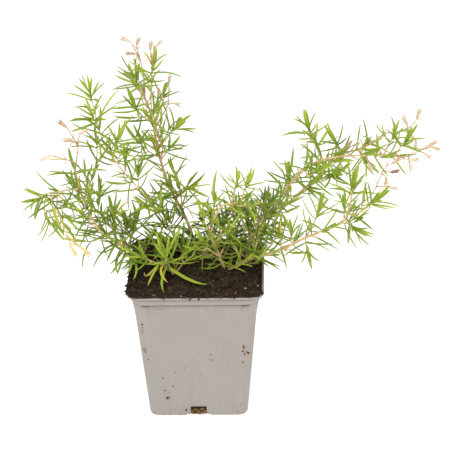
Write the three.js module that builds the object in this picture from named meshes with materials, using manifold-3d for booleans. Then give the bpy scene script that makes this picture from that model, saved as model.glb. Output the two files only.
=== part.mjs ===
// Potted creeping phlox: trailing stems with narrow leaves and dried flower heads, in a square nursery pot.
// Millimetres. +Z is up, +X to the right, +Y to the back, and the origin is the middle of the pot's base.
import * as THREE from "three";
import { mergeVertices } from "three/addons/utils/BufferGeometryUtils.js";
import Module from "manifold-3d";

// Pot, with its widths across the flats
const RIM_WIDTH = 90;
const BAND_TOP_WIDTH = 88.4;
const BAND_LOW_WIDTH = 83;
const BODY_TOP_WIDTH = 80.6;
const BASE_WIDTH = 65;
const POT_HEIGHT = 95;
const LIP_HEIGHT = 2;
const BAND_HEIGHT = 4.2;
const BAND_TOP = POT_HEIGHT - LIP_HEIGHT;
const BAND_LOW = BAND_TOP - BAND_HEIGHT;
const GROOVE = 0.2;
const RIM_CORNER = 9.6;
const BODY_CORNER = 6;
const CORNER_STEPS = 3;
const WALL = 1.4;
const FLOOR = 1.6;
const EDGE = 0.6;
const SLOT = { width: 10, low: 1, high: 6, depth: 5 };
const FOOT_GAP = { width: 16.5, height: 1 };

// Soil. A mound is [x, y, spread, height] and a ripple is [height, waves along x, waves along y].
const SOIL_LEVEL = 93.7;
const SOIL_RINGS = [0.985, 0.8, 0.55, 0.28];
const SOIL_SIDE_STEPS = 5;
const SOIL_CORNER_STEPS = 2;
const CLEARANCE = 0.3;
const HOLE_GAP = 0.36;
const HOLE_TOP = 4;
const MOUNDS = [
  [-46, 8, 20, 2.6],
  [-20, 40, 14, 3.6],
  [12, 40, 16, 1.8],
  [2, 8, 22, 1.6],
  [-44, -34, 10, 1.2],
];
const RIPPLES = [
  [0.45, 0.34, 0.29],
  [0.3, 0.71, -0.53],
];
const CRUMBS = 8;
const CRUMB_SIZE = [1.1, 2];
const CRUMB_FLATNESS = 0.8;
const CRUMB_X = [[-40, 40], [-44, -39]];
const CRUMB_Y = [-40, 42];

// Stems and shoots
const STEP = 13;
const STEM_SIDES = 6;
const SHOOT_SIDES = 4;
const SHOOT_RADIUS = 0.75;
const SHOOT_BARE = 5;

// Leaves. A leaf is [length, width]. Any other two numbers are a range, or a tuft's outer and inner pairs.
const LEAF = [14, 1.5];
const BROAD_WIDTH = 1.27;
const LEAF_THICKNESS = 0.8;
const LEAF_ROOT = 0.45;
const LEAF_WAIST = 0.5;
const NODE_GAP = 16;
const NODE_LEAN = 1;
const TUFT_GAP = 2;
const TUFT_PAIRS = 3;
const TUFT_LEAN = [1.15, 0.3];
const TUFT_SIZE = [1.05, 0.75];
const LEAN_RANGE = [0.85, 1.2];
const LENGTH_RANGE = [0.8, 1.2];
const WIDTH_RANGE = [0.85, 1.15];
const CURL_RANGE = [-0.3, 0.2];
const AIM_SPREAD = 0.15;

// Room that each leaf keeps
const TRIES = 8;
const SHORTER = 0.05;
const LEAF_SAMPLES = 6;
const DOT_GAP = 2.5;
const KEEP_APART = 2.4;
const ABOVE_SOIL = 2.2;

// Dried flower heads
const STALK_RADIUS = 0.45;
const STALK_SIDES = 4;
const CALYX_RADII = [0.85, 1.2];

const COLOURS = {
  pot: 0xb3aaa4,
  soil: 0x2d241e,
  foliage: 0x7f9a3a,
  dried: 0xc9a477,
};

// Leafy stems. A route lists [x, y, z] points along the stem, from its foot in the soil to its tip.
// A shoot starts on the stem, and broad leaves are [root, middle, tip], each as such a point.
const STEMS = {
  stem_tall_left: {
    radius: 1.25,
    bare: 26,
    route: [
      [0, 31, 82], [-1, 32, 92], [-8, 36, 114], [-19, 40, 137], [-26, 44, 161], [-31, 50, 188],
      [-41, 56, 210],
    ],
    shoots: [
      [[-25, 43, 156], [-23, 40, 165], [-28, 37, 185], [-29, 35, 205], [-27, 33, 226]],
      [[-29, 46, 174], [-26, 52, 188], [-22, 56, 198]],
      [[-30, 48, 180], [-36, 40, 189], [-40, 34, 199]],
      [[-25, 43, 157], [-31, 36, 164], [-38, 28, 175]],
      [[-26, 44, 162], [-21, 52, 167], [-14, 60, 173]],
      [[-24, 43, 155], [-19, 54, 160]],
      [[-10, 37, 119], [-12, 44, 130], [-16, 48, 144]],
      [[-15, 38, 128], [-9, 30, 140], [-4, 26, 143]],
    ],
    broad: [
      [[-41, 56, 209], [-46, 54, 220], [-49, 52, 227]],
      [[-27, 33, 225], [-26, 32, 234], [-26, 30, 243]],
      [[-38, 28, 175], [-43, 24, 184], [-46, 21, 193]],
      [[-37, 29, 174], [-44, 22, 177], [-49, 18, 177]],
      [[-9, 31, 139], [0, 22, 145], [11, 16, 149]],
      [[-20, 40, 130], [-24, 34, 139], [-29, 30, 148]],
      [[-9, 37, 122], [1, 30, 128], [12, 26, 128]],
    ],
  },
  stem_left: {
    radius: 1.1,
    bare: 24,
    route: [
      [-8, 24, 82], [-9, 24, 92], [-19, 22, 114], [-35, 16, 142], [-48, 12, 161], [-60, 10, 184],
      [-67, 15, 215],
    ],
    shoots: [
      [[-56, 10, 174], [-53, 4, 181], [-49, 0, 188]],
      [[-46, 12, 159], [-47, 20, 167]],
      [[-38, 15, 146], [-39, 24, 154]],
      [[-29, 17, 134], [-33, 7, 138]],
      [[-61, 11, 192], [-65, 4, 203]],
      [[-15, 23, 105], [-19, 30, 117]],
    ],
    broad: [
      [[-54, 7, 178], [-47, 2, 193], [-38, -2, 206]],
      [[-66, 14, 213], [-70, 12, 222], [-71, 10, 229]],
      [[-61, 12, 196], [-56, 16, 207], [-49, 20, 215]],
    ],
  },
  stem_low_left: {
    radius: 1.1,
    bare: 22,
    route: [
      [-28, 11, 82], [-29, 10, 92], [-38, 6, 100], [-54, -4, 117], [-63, -10, 128], [-71, -20, 154],
      [-75, -28, 180],
    ],
    shoots: [
      [[-74, -24, 163], [-83, -32, 166], [-92, -38, 167], [-98, -42, 165]],
      [[-70, -20, 153], [-69, -12, 158], [-65, -6, 167], [-63, -1, 178], [-63, 2, 187]],
      [[-63, -10, 128], [-64, -3, 138], [-63, 4, 148]],
      [[-90, -37, 166], [-88, -46, 160]],
      [[-48, 0, 110], [-51, -2, 121], [-54, -5, 137]],
      [[-45, 3, 106], [-48, 8, 113], [-47, 12, 121]],
    ],
    broad: [
      [[-98, -42, 165], [-103, -44, 165], [-109, -46, 164]],
      [[-67, -9, 162], [-70, -16, 171], [-74, -19, 179]],
      [[-63, 2, 186], [-70, -4, 196], [-78, -8, 203]],
      [[-63, -10, 128], [-72, -18, 127], [-86, -26, 136]],
      [[-47, 1, 109], [-50, -8, 104], [-53, -14, 96]],
      [[-47, 12, 120], [-43, 16, 125], [-39, 20, 129]],
    ],
  },
  stem_front_left: {
    radius: 1,
    bare: 16,
    leaf: [19, 2.1],
    route: [[-14, -8, 84], [-15, -9, 93], [-18, -11, 102], [-20, -14, 109]],
    shoots: [[[-18, -11, 101], [-27, -14, 106], [-36, -16, 111]]],
    broad: [
      [[-19, -13, 102], [-5, -24, 97], [8, -29, 97]],
      [[-19, -12, 103], [-23, -26, 99], [-20, -40, 97]],
      [[-19, -13, 108], [-14, -10, 120], [-8, -6, 129]],
      [[-19, -13, 106], [-10, -18, 107], [0, -20, 109]],
    ],
  },
  stem_front_middle: {
    radius: 1.1,
    bare: 14,
    leaf: [12, 1.9],
    route: [
      [19, -2, 84], [19, -2, 93], [15, -4, 106], [10, -7, 124], [14, -8, 138], [20, -8, 145], [28, -8, 144],
      [37, -8, 143],
    ],
    shoots: [
      [[12, -8, 133], [12, -6, 139], [13, -5, 145]],
      [[10, -7, 125], [7, -11, 132], [5, -13, 140]],
      [[15, -4, 105], [8, -10, 114], [5, -13, 121]],
      [[15, -4, 105], [18, -2, 110], [21, 0, 118]],
      [[24, -8, 145], [26, -8, 153], [28, -8, 161]],
      [[30, -8, 144], [32, -10, 154], [35, -11, 161]],
    ],
    broad: [
      [[10, -7, 124], [-2, -16, 117], [-14, -22, 110]],
      [[13, -5, 144], [13, -4, 156], [15, -4, 168]],
      [[13, -5, 144], [4, -12, 148], [-3, -17, 150]],
      [[20, -8, 145], [26, -12, 143], [33, -15, 138]],
      [[18, -2, 98], [26, -8, 98], [33, -12, 97]],
    ],
  },
  stem_upper_right: {
    radius: 1.25,
    bare: 28,
    route: [
      [24, 33, 82], [26, 34, 92], [31, 36, 104], [39, 38, 109], [53, 40, 116], [66, 40, 128], [82, 36, 146],
      [94, 35, 160], [110, 34, 166], [120, 35, 171],
    ],
    shoots: [
      [[64, 40, 126], [63, 31, 138], [62, 26, 149]],
      [[85, 36, 150], [85, 28, 159], [81, 22, 170], [75, 18, 187]],
      [[77, 37, 140], [84, 28, 145], [93, 22, 152]],
      [[100, 34, 164], [96, 28, 169], [93, 24, 175]],
      [[109, 34, 166], [113, 26, 161]],
      [[72, 39, 134], [76, 30, 140]],
    ],
    broad: [
      [[75, 18, 186], [71, 15, 193], [66, 12, 199]],
      [[79, 20, 176], [81, 17, 184], [81, 15, 193]],
      [[80, 21, 173], [88, 18, 178], [95, 15, 183]],
      [[62, 26, 148], [63, 24, 161], [65, 22, 173]],
      [[62, 27, 146], [55, 22, 158], [51, 20, 164]],
    ],
  },
  stem_long_right: {
    radius: 1.1,
    bare: 34,
    route: [
      [28, 20, 82], [29, 20, 93], [35, 20, 106], [45, 20, 119], [63, 16, 149], [77, 14, 163], [90, 14, 168],
      [109, 13, 170], [125, 11, 171], [133, 10, 170],
    ],
    shoots: [
      [[124, 11, 171], [127, 15, 176], [131, 18, 182]],
      [[131, 10, 170], [134, 6, 178], [138, 4, 183]],
      [[72, 15, 159], [75, 8, 158], [79, 4, 162]],
    ],
    broad: [],
  },
  stem_low_right: {
    radius: 1.15,
    bare: 30,
    route: [
      [21, 3, 83], [23, 2, 92], [30, 0, 99], [39, -4, 104], [55, -12, 113], [72, -20, 126], [92, -28, 138],
      [98, -31, 146], [102, -36, 168],
    ],
    shoots: [
      [[98, -32, 148], [105, -38, 151], [115, -44, 162]],
      [[72, -20, 126], [73, -27, 121]],
      [[72, -20, 126], [77, -16, 133], [81, -14, 142]],
      [[56, -13, 114], [56, -8, 121]],
      [[63, -16, 119], [63, -11, 126]],
      [[97, -30, 144], [97, -24, 151]],
      [[97, -30, 144], [103, -37, 141]],
      [[38, -3, 103], [44, 1, 104]],
    ],
    broad: [
      [[102, -36, 166], [103, -38, 178], [105, -39, 188]],
      [[101, -35, 164], [100, -32, 177], [98, -29, 186]],
      [[98, -31, 145], [106, -39, 136], [113, -41, 130]],
      [[56, -13, 114], [58, -18, 110], [60, -22, 104]],
      [[115, -44, 161], [123, -46, 162], [130, -47, 160]],
    ],
  },
  stem_inner_right: {
    radius: 0.9,
    bare: 22,
    leaf: [12, 1.4],
    route: [[30, 7, 84], [31, 6, 94], [36, 4, 110], [40, 2, 123], [45, 0, 142]],
    shoots: [
      [[37, 4, 113], [44, 0, 120]],
      [[40, 2, 123], [33, 6, 129]],
      [[42, 1, 130], [51, -6, 137]],
    ],
    broad: [],
  },
  stem_inner_back: {
    radius: 0.9,
    bare: 20,
    leaf: [12, 1.4],
    route: [[36, 25, 84], [38, 28, 93], [42, 40, 101], [46, 52, 106], [49, 58, 116]],
    shoots: [
      [[43, 43, 102], [52, 48, 105]],
      [[45, 50, 105], [38, 57, 111]],
    ],
    broad: [],
  },
  stem_centre_low: {
    radius: 0.85,
    bare: 14,
    leaf: [12, 1.4],
    route: [[15, 12, 84], [16, 13, 93], [21, 16, 103], [26, 18, 112]],
    shoots: [[[21, 16, 103], [29, 12, 108]]],
    broad: [],
  },
  stem_centre_back: {
    radius: 0.85,
    bare: 14,
    leaf: [12, 1.4],
    route: [[10, 29, 84], [10, 30, 94], [13, 36, 102], [17, 42, 109]],
    shoots: [[[13, 36, 102], [4, 42, 107]]],
    broad: [],
  },
  stem_back_low: {
    radius: 0.9,
    bare: 18,
    leaf: [12, 1.4],
    route: [[12, 34, 84], [13, 35, 94], [16, 41, 101], [19, 54, 106], [22, 66, 108], [24, 76, 106]],
    shoots: [
      [[18, 48, 104], [8, 57, 109]],
      [[20, 58, 106], [31, 66, 108]],
    ],
    broad: [],
  },
};

// Dried flower heads. Each stalk lists its points, and its last two points are the ends of its calyx.
const HEADS = {
  dried_head_top: {
    on: "stem_tall_left",
    stalks: [
      [[-33, 50, 197], [-34, 49, 207], [-35, 48, 220], [-38, 46, 236], [-36, 46, 242]],
      [[-36, 47, 227], [-39, 44, 234], [-42, 43, 240], [-48, 42, 243]],
      [[-35, 48, 224], [-39, 50, 229], [-46, 51, 229]],
    ],
  },
  dried_head_top_right: {
    on: "stem_tall_left",
    stalks: [
      [[-29, 47, 175], [-24, 51, 183], [-19, 55, 191], [-18, 57, 205], [-17, 57, 212]],
      [[-19, 55, 191], [-15, 57, 191], [-11, 59, 189]],
      [[-21, 53, 188], [-23, 49, 199], [-25, 47, 206]],
    ],
  },
  dried_head_left: {
    on: "stem_low_left",
    stalks: [
      [[-75, -28, 178], [-73, -27, 188], [-72, -26, 195], [-71, -25, 202], [-65, -25, 205]],
      [[-72, -26, 194], [-75, -29, 202], [-78, -31, 209], [-83, -32, 214]],
      [[-74, -28, 183], [-79, -33, 188], [-88, -38, 193], [-95, -39, 190]],
      [[-72, -26, 196], [-76, -23, 197], [-82, -20, 196]],
    ],
  },
  dried_head_low_left: {
    on: "stem_low_left",
    stalks: [
      [[-88, -45, 161], [-83, -49, 155], [-81, -51, 148], [-77, -52, 136], [-74, -52, 129]],
      [[-80, -51, 144], [-72, -54, 138], [-65, -55, 131]],
    ],
  },
  dried_head_upper_right: {
    on: "stem_upper_right",
    stalks: [
      [[118, 35, 170], [126, 33, 177], [133, 31, 179], [140, 29, 181], [147, 27, 190], [148, 27, 197]],
      [[140, 29, 181], [141, 31, 184], [137, 33, 190]],
      [[140, 29, 181], [146, 26, 175], [146, 25, 168]],
    ],
  },
  dried_head_right: {
    on: "stem_long_right",
    stalks: [
      [[131, 10, 170], [140, 8, 171], [147, 6, 176], [152, 5, 179], [158, 4, 183]],
      [[147, 6, 176], [155, 9, 177], [161, 11, 174]],
      [[146, 6, 175], [149, 2, 176], [154, 0, 173]],
      [[140, 8, 171], [141, 8, 166], [142, 8, 160]],
    ],
  },
  dried_head_low_right: {
    on: "stem_low_right",
    stalks: [
      [
        [99, -33, 151], [105, -29, 152], [114, -25, 158], [119, -22, 167], [122, -20, 174], [127, -19, 177],
        [133, -18, 181],
      ],
      [[122, -20, 173], [126, -23, 173], [132, -25, 175]],
      [[121, -20, 171], [124, -17, 167], [124, -16, 160]],
      [[117, -23, 163], [124, -25, 164], [131, -27, 163]],
    ],
  },
};

const wasm = await Module();
wasm.setup();

const UP = new THREE.Vector3(0, 0, 1);
const BACK = new THREE.Vector3(0, 1, 0);
const RIGHT = new THREE.Vector3(1, 0, 0);
const vector = ([x, y, z]) => new THREE.Vector3(x, y, z);
const { lerp } = THREE.MathUtils;

// The same number from 0 to 1 each time for the same seeds.
function draw(...seeds) {
  const scales = [12.9898, 78.233, 37.719, 4.581, 9.173];
  const wave = 43758.5453 * Math.sin(seeds.reduce((sum, seed, i) => sum + seed * scales[i], 0));
  return wave - Math.floor(wave);
}

// A manifold-3d solid from corners and the triangles that join them.
function solid(corners, triangles) {
  return new wasm.Manifold(
    new wasm.Mesh({
      numProp: 3,
      vertProperties: new Float32Array(corners),
      triVerts: new Uint32Array(triangles),
    }),
  );
}

// A solid of one of the closed three.js geometries.
function solidOf(geometry) {
  geometry.deleteAttribute("normal");
  geometry.deleteAttribute("uv");
  const merged = mergeVertices(geometry);
  return solid(merged.getAttribute("position").array, merged.index.array);
}

// A closed solid through rings of equal count. A ring of one point is a tip, and the open ends are filled.
function loft(rings) {
  const points = rings.flat();
  const starts = rings.map((ring, i) => rings.slice(0, i).reduce((sum, r) => sum + r.length, 0));
  const faces = [];
  for (let i = 0; i + 1 < rings.length; i++) {
    const [low, high] = [rings[i], rings[i + 1]];
    const count = Math.max(low.length, high.length);
    for (let j = 0; j < count; j++) {
      const next = (j + 1) % count;
      const [a, b] = [starts[i] + (j % low.length), starts[i] + (next % low.length)];
      const [c, d] = [starts[i + 1] + (j % high.length), starts[i + 1] + (next % high.length)];
      if (a !== b) faces.push([a, b, d]);
      if (c !== d) faces.push([a, d, c]);
    }
  }
  const last = starts[rings.length - 1];
  for (let j = 1; j + 1 < rings[0].length; j++) faces.push([0, j + 1, j]);
  for (let j = 1; j + 1 < rings[rings.length - 1].length; j++) faces.push([last, last + j, last + j + 1]);
  const facing = ([a, b, c]) => points[a].dot(new THREE.Vector3().crossVectors(points[b], points[c]));
  const insideOut = faces.reduce((sum, face) => sum + facing(face), 0) < 0;
  const outward = insideOut ? faces.map(([a, b, c]) => [a, c, b]) : faces;
  return solid(points.flatMap((p) => p.toArray()), outward.flat());
}

// The largest body of a solid: loose scraps and sealed hollows are dropped.
function mainBody(whole) {
  return whole.decompose().reduce((best, body) => (body.volume() > best.volume() ? body : best));
}

function join(solids) {
  return solids.reduce((whole, piece) => whole.add(piece));
}

function meshOf(name, whole, material) {
  const { vertProperties, triVerts } = whole.getMesh();
  const geometry = new THREE.BufferGeometry();
  geometry.setAttribute("position", new THREE.BufferAttribute(new Float32Array(vertProperties), 3));
  geometry.setIndex(new THREE.BufferAttribute(new Uint32Array(triVerts), 1));
  geometry.computeVertexNormals();
  const mesh = new THREE.Mesh(geometry, material);
  mesh.name = name;
  return mesh;
}

// A square with round corners at height z, counter-clockwise.
function roundedSquare(half, corner, z, cornerSteps, sideSteps) {
  const ring = [];
  for (let side = 0; side < 4; side++) {
    const turned = (x, y) => vector([x, y, z]).applyAxisAngle(UP, (side * Math.PI) / 2);
    for (let k = 0; k <= cornerSteps; k++) {
      const angle = ((k / cornerSteps) * Math.PI) / 2;
      ring.push(turned(half - corner + corner * Math.cos(angle), half - corner + corner * Math.sin(angle)));
    }
    for (let k = 1; k < sideSteps; k++) ring.push(turned(lerp(1, -1, k / sideSteps) * (half - corner), half));
  }
  return ring;
}

// Half the width across the pot's flat sides at a height below the rim band.
function bodyHalf(z) {
  return lerp(BASE_WIDTH, BODY_TOP_WIDTH, z / BAND_LOW) / 2;
}

// The pot's wall and floor as one shell, thicker by `grow` on every side.
function potShell(grow) {
  const rim = RIM_WIDTH / 2;
  const outside = [
    [-grow, bodyHalf(0) - EDGE, BODY_CORNER - EDGE],
    [EDGE, bodyHalf(EDGE), BODY_CORNER],
    [BAND_LOW - EDGE, bodyHalf(BAND_LOW), BODY_CORNER],
    [BAND_LOW, BAND_LOW_WIDTH / 2, RIM_CORNER],
    [BAND_TOP, BAND_TOP_WIDTH / 2, RIM_CORNER],
    [BAND_TOP + GROOVE, rim, RIM_CORNER],
    [POT_HEIGHT - EDGE, rim, RIM_CORNER],
    [POT_HEIGHT + grow, rim - EDGE, RIM_CORNER - EDGE],
  ];
  const inside = [
    [POT_HEIGHT + grow, rim, RIM_CORNER],
    [BAND_TOP, BAND_TOP_WIDTH / 2, RIM_CORNER],
    [BAND_LOW, BAND_LOW_WIDTH / 2, RIM_CORNER],
    [BAND_LOW - WALL, bodyHalf(BAND_LOW), BODY_CORNER],
    [FLOOR + grow, bodyHalf(FLOOR), BODY_CORNER],
  ];
  const ring = ([z, half, corner], more) => roundedSquare(half + more, corner + more, z, CORNER_STEPS, 1);
  const walls = [outside.map((level) => ring(level, grow)), inside.map((level) => ring(level, -WALL - grow))];
  return loft(walls.flat());
}

// The pot has a drain slot and a raised edge in the middle of each side, at its foot.
function makePot() {
  const half = BASE_WIDTH / 2;
  const slot = new THREE.BoxGeometry(SLOT.width, SLOT.depth, SLOT.high - SLOT.low);
  const foot = new THREE.BoxGeometry(FOOT_GAP.width, SLOT.depth, 2 * FOOT_GAP.height);
  slot.translate(0, -half, (SLOT.low + SLOT.high) / 2);
  foot.translate(0, -half, 0);
  const opening = solidOf(slot).add(solidOf(foot));
  return [0, 90, 180, 270].reduce((pot, turn) => pot.subtract(opening.rotate([0, 0, turn])), potShell(0));
}

// The height of the soil's surface: a level, its mounds and its ripples.
function soilTop(x, y) {
  const mound = ([mx, my, spread, height]) => height * Math.exp(-((x - mx) ** 2 + (y - my) ** 2) / spread ** 2);
  const ripple = ([height, byX, byY]) => height * Math.sin(byX * x + 1) * Math.cos(byY * y + byX * x);
  const mounds = MOUNDS.reduce((sum, m) => sum + mound(m), 0);
  return SOIL_LEVEL + mounds + RIPPLES.reduce((sum, r) => sum + ripple(r), 0);
}

// A crumb of peat on the surface, every other one on the heaped left edge.
function crumb(index) {
  const x = lerp(...CRUMB_X[index % 2], draw(index, 1));
  const y = lerp(...CRUMB_Y, draw(index, 2));
  const shape = new THREE.IcosahedronGeometry(lerp(...CRUMB_SIZE, draw(index, 3)));
  return solidOf(shape.scale(1, 1, CRUMB_FLATNESS).translate(x, y, soilTop(x, y)));
}

// The soil fills the pot, heaps over the lip on the left, and has a plain hole for each stem.
function makeSoil(twigs) {
  const outline = (half, corner, z) => roundedSquare(half, corner, z, SOIL_CORNER_STEPS, SOIL_SIDE_STEPS);
  const edge = RIM_WIDTH / 2 - EDGE;
  const sides = [
    outline(bodyHalf(0) - WALL / 2, BODY_CORNER, FLOOR / 2),
    outline(bodyHalf(BAND_LOW) - WALL / 2, BODY_CORNER, BAND_LOW - WALL),
    outline(edge - WALL / 2, RIM_CORNER, BAND_TOP),
    outline(edge, RIM_CORNER, POT_HEIGHT),
  ];
  const surface = SOIL_RINGS.map((share) => {
    return sides[3].map(({ x, y }) => vector([share * x, share * y, soilTop(share * x, share * y)]));
  });
  const heap = [loft([...sides, ...surface, [vector([0, 0, soilTop(0, 0)])]])];
  for (let index = 0; index < CRUMBS; index++) heap.push(crumb(index));
  const holes = twigs.map((twig) => rod(stretched(footOf(twig)), twig.radius + HOLE_GAP, twig.sides));
  return mainBody(join(heap).subtract(potShell(CLEARANCE)).subtract(join(holes)));
}

// The part of a stem that its hole in the soil clears.
function footOf({ path }) {
  return path.filter((p, i) => i < 2 || path[i - 1].z < soilTop(p.x, p.y) + HOLE_TOP);
}

// A route made smooth, in steps of about STEP.
function smooth(points) {
  const curve = new THREE.CatmullRomCurve3(points, false, "catmullrom");
  const path = [points[0]];
  for (let i = 0; i + 1 < points.length; i++) {
    const cuts = Math.max(1, Math.round(points[i].distanceTo(points[i + 1]) / STEP));
    for (let k = 1; k <= cuts; k++) path.push(curve.getPoint((i + k / cuts) / (points.length - 1)));
  }
  return path;
}

// Each straight run of a path: its direction, and two directions square to it, carried along untwisted.
function runsOf(path) {
  const runs = [];
  for (let i = 0; i + 1 < path.length; i++) {
    const run = new THREE.Vector3().subVectors(path[i + 1], path[i]).normalize();
    const before = runs[i - 1];
    const side = before
      ? before.side.clone().applyQuaternion(new THREE.Quaternion().setFromUnitVectors(before.run, run))
      : new THREE.Vector3().crossVectors(run, Math.abs(run.y) > 0.9 ? RIGHT : BACK).normalize();
    runs.push({ run, side, over: new THREE.Vector3().crossVectors(run, side) });
  }
  return runs;
}

// A bar with flat sides along a path, mitred where the path bends, with a radius for each point of the path.
function taperedRod(path, radii, sides) {
  const runs = runsOf(path);
  const rings = path.map((p, i) => {
    const { run, side, over } = runs[Math.max(i - 1, 0)];
    const mitre = run.clone().add(runs[Math.min(i, runs.length - 1)].run);
    return Array.from({ length: sides }, (_, k) => {
      const angle = (2 * Math.PI * (k + 0.5)) / sides;
      const reach = side.clone().multiplyScalar(radii[i] * Math.cos(angle));
      reach.addScaledVector(over, radii[i] * Math.sin(angle));
      return reach.addScaledVector(run, -reach.dot(mitre) / run.dot(mitre)).add(p);
    });
  });
  return loft(rings);
}

function rod(path, radius, sides) {
  return taperedRod(path, path.map(() => radius), sides);
}

// A path made longer at both ends, for the cut that clears a bar.
function stretched(path) {
  const beyond = (end, next) => end.clone().sub(next).setLength(HOLE_GAP).add(end);
  const last = path.length - 1;
  return [beyond(path[0], path[1]), ...path.slice(1, -1), beyond(path[last], path[last - 1])];
}

// The point of the twigs or stalks that lies nearest to `place`.
function nearest(bars, place) {
  const found = bars.flatMap(({ path }) => {
    return path.slice(1).map((end, i) => {
      return new THREE.Line3(path[i], end).closestPointToPoint(place, true, new THREE.Vector3());
    });
  });
  return found.reduce((best, p) => (p.distanceTo(place) < best.distanceTo(place) ? p : best));
}

// The stem and its shoots as twigs: each has a path, a radius, and the length that stays bare.
function twigsOf(stem) {
  const { radius, bare } = stem;
  const twigs = [{ path: smooth(stem.route.map(vector)), radius, sides: STEM_SIDES, bare }];
  for (const shoot of stem.shoots) {
    const [start, ...rest] = shoot.map(vector);
    const path = smooth([nearest(twigs, start), ...rest]);
    twigs.push({ path, radius: SHOOT_RADIUS, sides: SHOOT_SIDES, bare: SHOOT_BARE });
  }
  return twigs;
}

function lengthOf(path) {
  return path.slice(1).reduce((sum, p, i) => sum + p.distanceTo(path[i]), 0);
}

// The place at a distance along a path, and the number of the straight run that it lies on.
function along(path, distance) {
  let left = distance;
  let i = 0;
  while (i + 2 < path.length && left > path[i].distanceTo(path[i + 1])) {
    left -= path[i].distanceTo(path[i + 1]);
    i += 1;
  }
  const step = new THREE.Vector3().subVectors(path[i + 1], path[i]).setLength(left);
  return { place: path[i].clone().add(step), i };
}

// A leaf at `lean` from the twig's direction, on the side that `azimuth` names. Halfway it bends by `curl`.
function leafAt(path, distance, azimuth, lean, curl, length, width) {
  const { place, i } = along(path, distance);
  const { run, side, over } = runsOf(path)[i];
  const outward = side.clone().multiplyScalar(Math.cos(azimuth)).addScaledVector(over, Math.sin(azimuth));
  const reach = (from, angle, size) => {
    const ahead = from.clone().addScaledVector(run, size * Math.cos(angle));
    return ahead.addScaledVector(outward, size * Math.sin(angle));
  };
  const middle = reach(place, lean, LEAF_WAIST * length);
  const tip = reach(middle, lean + curl, (1 - LEAF_WAIST) * length);
  return { points: [place, middle, tip], across: new THREE.Vector3().crossVectors(run, outward), width };
}

// A leaf placed by hand, facing up.
function broadLeaf([root, middle, tip], twigs, width) {
  const start = nearest(twigs, root);
  const run = new THREE.Vector3().subVectors(tip, start);
  const across = new THREE.Vector3().crossVectors(UP, run);
  if (across.length() < run.length() / 4) across.crossVectors(BACK, run);
  return { points: [start, middle, tip], across: across.normalize(), width };
}

// Where leaves grow on a twig: pairs at even gaps, then a tuft of pairs that close up towards the end.
function spotsOf(twig) {
  const tuftStart = lengthOf(twig.path) - TUFT_GAP * TUFT_PAIRS;
  const spots = [];
  for (let distance = twig.bare; distance < tuftStart - NODE_GAP / 3; distance += NODE_GAP) {
    spots.push({ distance, lean: NODE_LEAN, size: 1, slim: false });
  }
  for (let pair = 0; pair < TUFT_PAIRS; pair++) {
    const inner = pair / (TUFT_PAIRS - 1);
    spots.push({
      distance: tuftStart + TUFT_GAP * (pair + 0.5),
      lean: lerp(...TUFT_LEAN, inner),
      size: lerp(...TUFT_SIZE, inner),
      slim: pair > 0,
    });
  }
  return spots;
}

// The twig's leaves, in opposite pairs that turn from spot to spot. One with no room tries again, shorter.
function leavesOf(twig, seed, [length, width], isClear) {
  const leaves = [];
  spotsOf(twig).forEach((spot, turn) => {
    for (const half of [0, 1]) {
      for (let attempt = 0; attempt < TRIES; attempt++) {
        const within = (range, k) => lerp(...range, draw(seed, turn, half, attempt, k));
        const aim = within([-AIM_SPREAD, AIM_SPREAD], 1) * (1 + attempt);
        const leaf = leafAt(
          twig.path,
          spot.distance,
          ((2 * turn) / twig.sides + half) * Math.PI + aim,
          spot.lean * within(LEAN_RANGE, 2),
          within(CURL_RANGE, 3),
          length * spot.size * within(LENGTH_RANGE, 4) * (1 - SHORTER * attempt),
          width * within(WIDTH_RANGE, 5),
        );
        if (!isClear(leaf)) continue;
        leaves.push({ ...leaf, slim: spot.slim });
        break;
      }
    }
  });
  return leaves;
}

// Points along a leaf from near its root to its tip.
function samplesOf({ points: [root, middle, tip] }) {
  return Array.from({ length: LEAF_SAMPLES }, (_, k) => {
    const share = (k + 1) / LEAF_SAMPLES;
    if (share < LEAF_WAIST) return new THREE.Vector3().lerpVectors(root, middle, share / LEAF_WAIST);
    return new THREE.Vector3().lerpVectors(middle, tip, (share - LEAF_WAIST) / (1 - LEAF_WAIST));
  });
}

// Points at even gaps along a path.
function dotsOf(path) {
  const length = lengthOf(path);
  const count = Math.ceil(length / DOT_GAP);
  return Array.from({ length: count + 1 }, (_, k) => along(path, (k / count) * length).place);
}

// Whether a point keeps clear of the soil and the pot.
function abovePot({ x, y, z }) {
  if (Math.max(Math.abs(x), Math.abs(y)) > RIM_WIDTH / 2 + ABOVE_SOIL) return true;
  return z > Math.max(soilTop(x, y), POT_HEIGHT) + ABOVE_SOIL;
}

// The solid of one leaf: flat below, ridged above and pointed. A slim one narrows all the way from its root.
function leafSolid({ points: [root, middle, tip], across, width, slim }) {
  const normal = new THREE.Vector3().subVectors(tip, root).cross(across).negate().normalize();
  const section = (centre, size) => {
    const corner = (aside, above) => {
      const edge = centre.clone().addScaledVector(across, aside * size * width);
      return edge.addScaledVector(normal, above * size * LEAF_THICKNESS);
    };
    return [corner(1 / 2, 1 / 3), corner(-1 / 2, 1 / 3), corner(0, -2 / 3)];
  };
  return loft([section(root, LEAF_ROOT), ...(slim ? [] : [section(middle, 1)]), [tip]]);
}

function makeStem(twigs, leaves) {
  const bars = twigs.map(({ path, radius, sides }) => rod(path, radius, sides));
  return mainBody(join([...bars, ...leaves.map(leafSolid)]));
}

// A head's stalks: the first one leaves its stem, and the others leave the stalks before them.
function stalksOf(head, twigs) {
  const stalks = [];
  for (const stalk of head.stalks) {
    const [start, ...rest] = stalk.map(vector);
    const points = [nearest(stalks.length ? stalks : twigs, start), ...rest];
    stalks.push({ path: smooth(points.slice(0, -1)), mouth: points[points.length - 1] });
  }
  return stalks;
}

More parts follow.
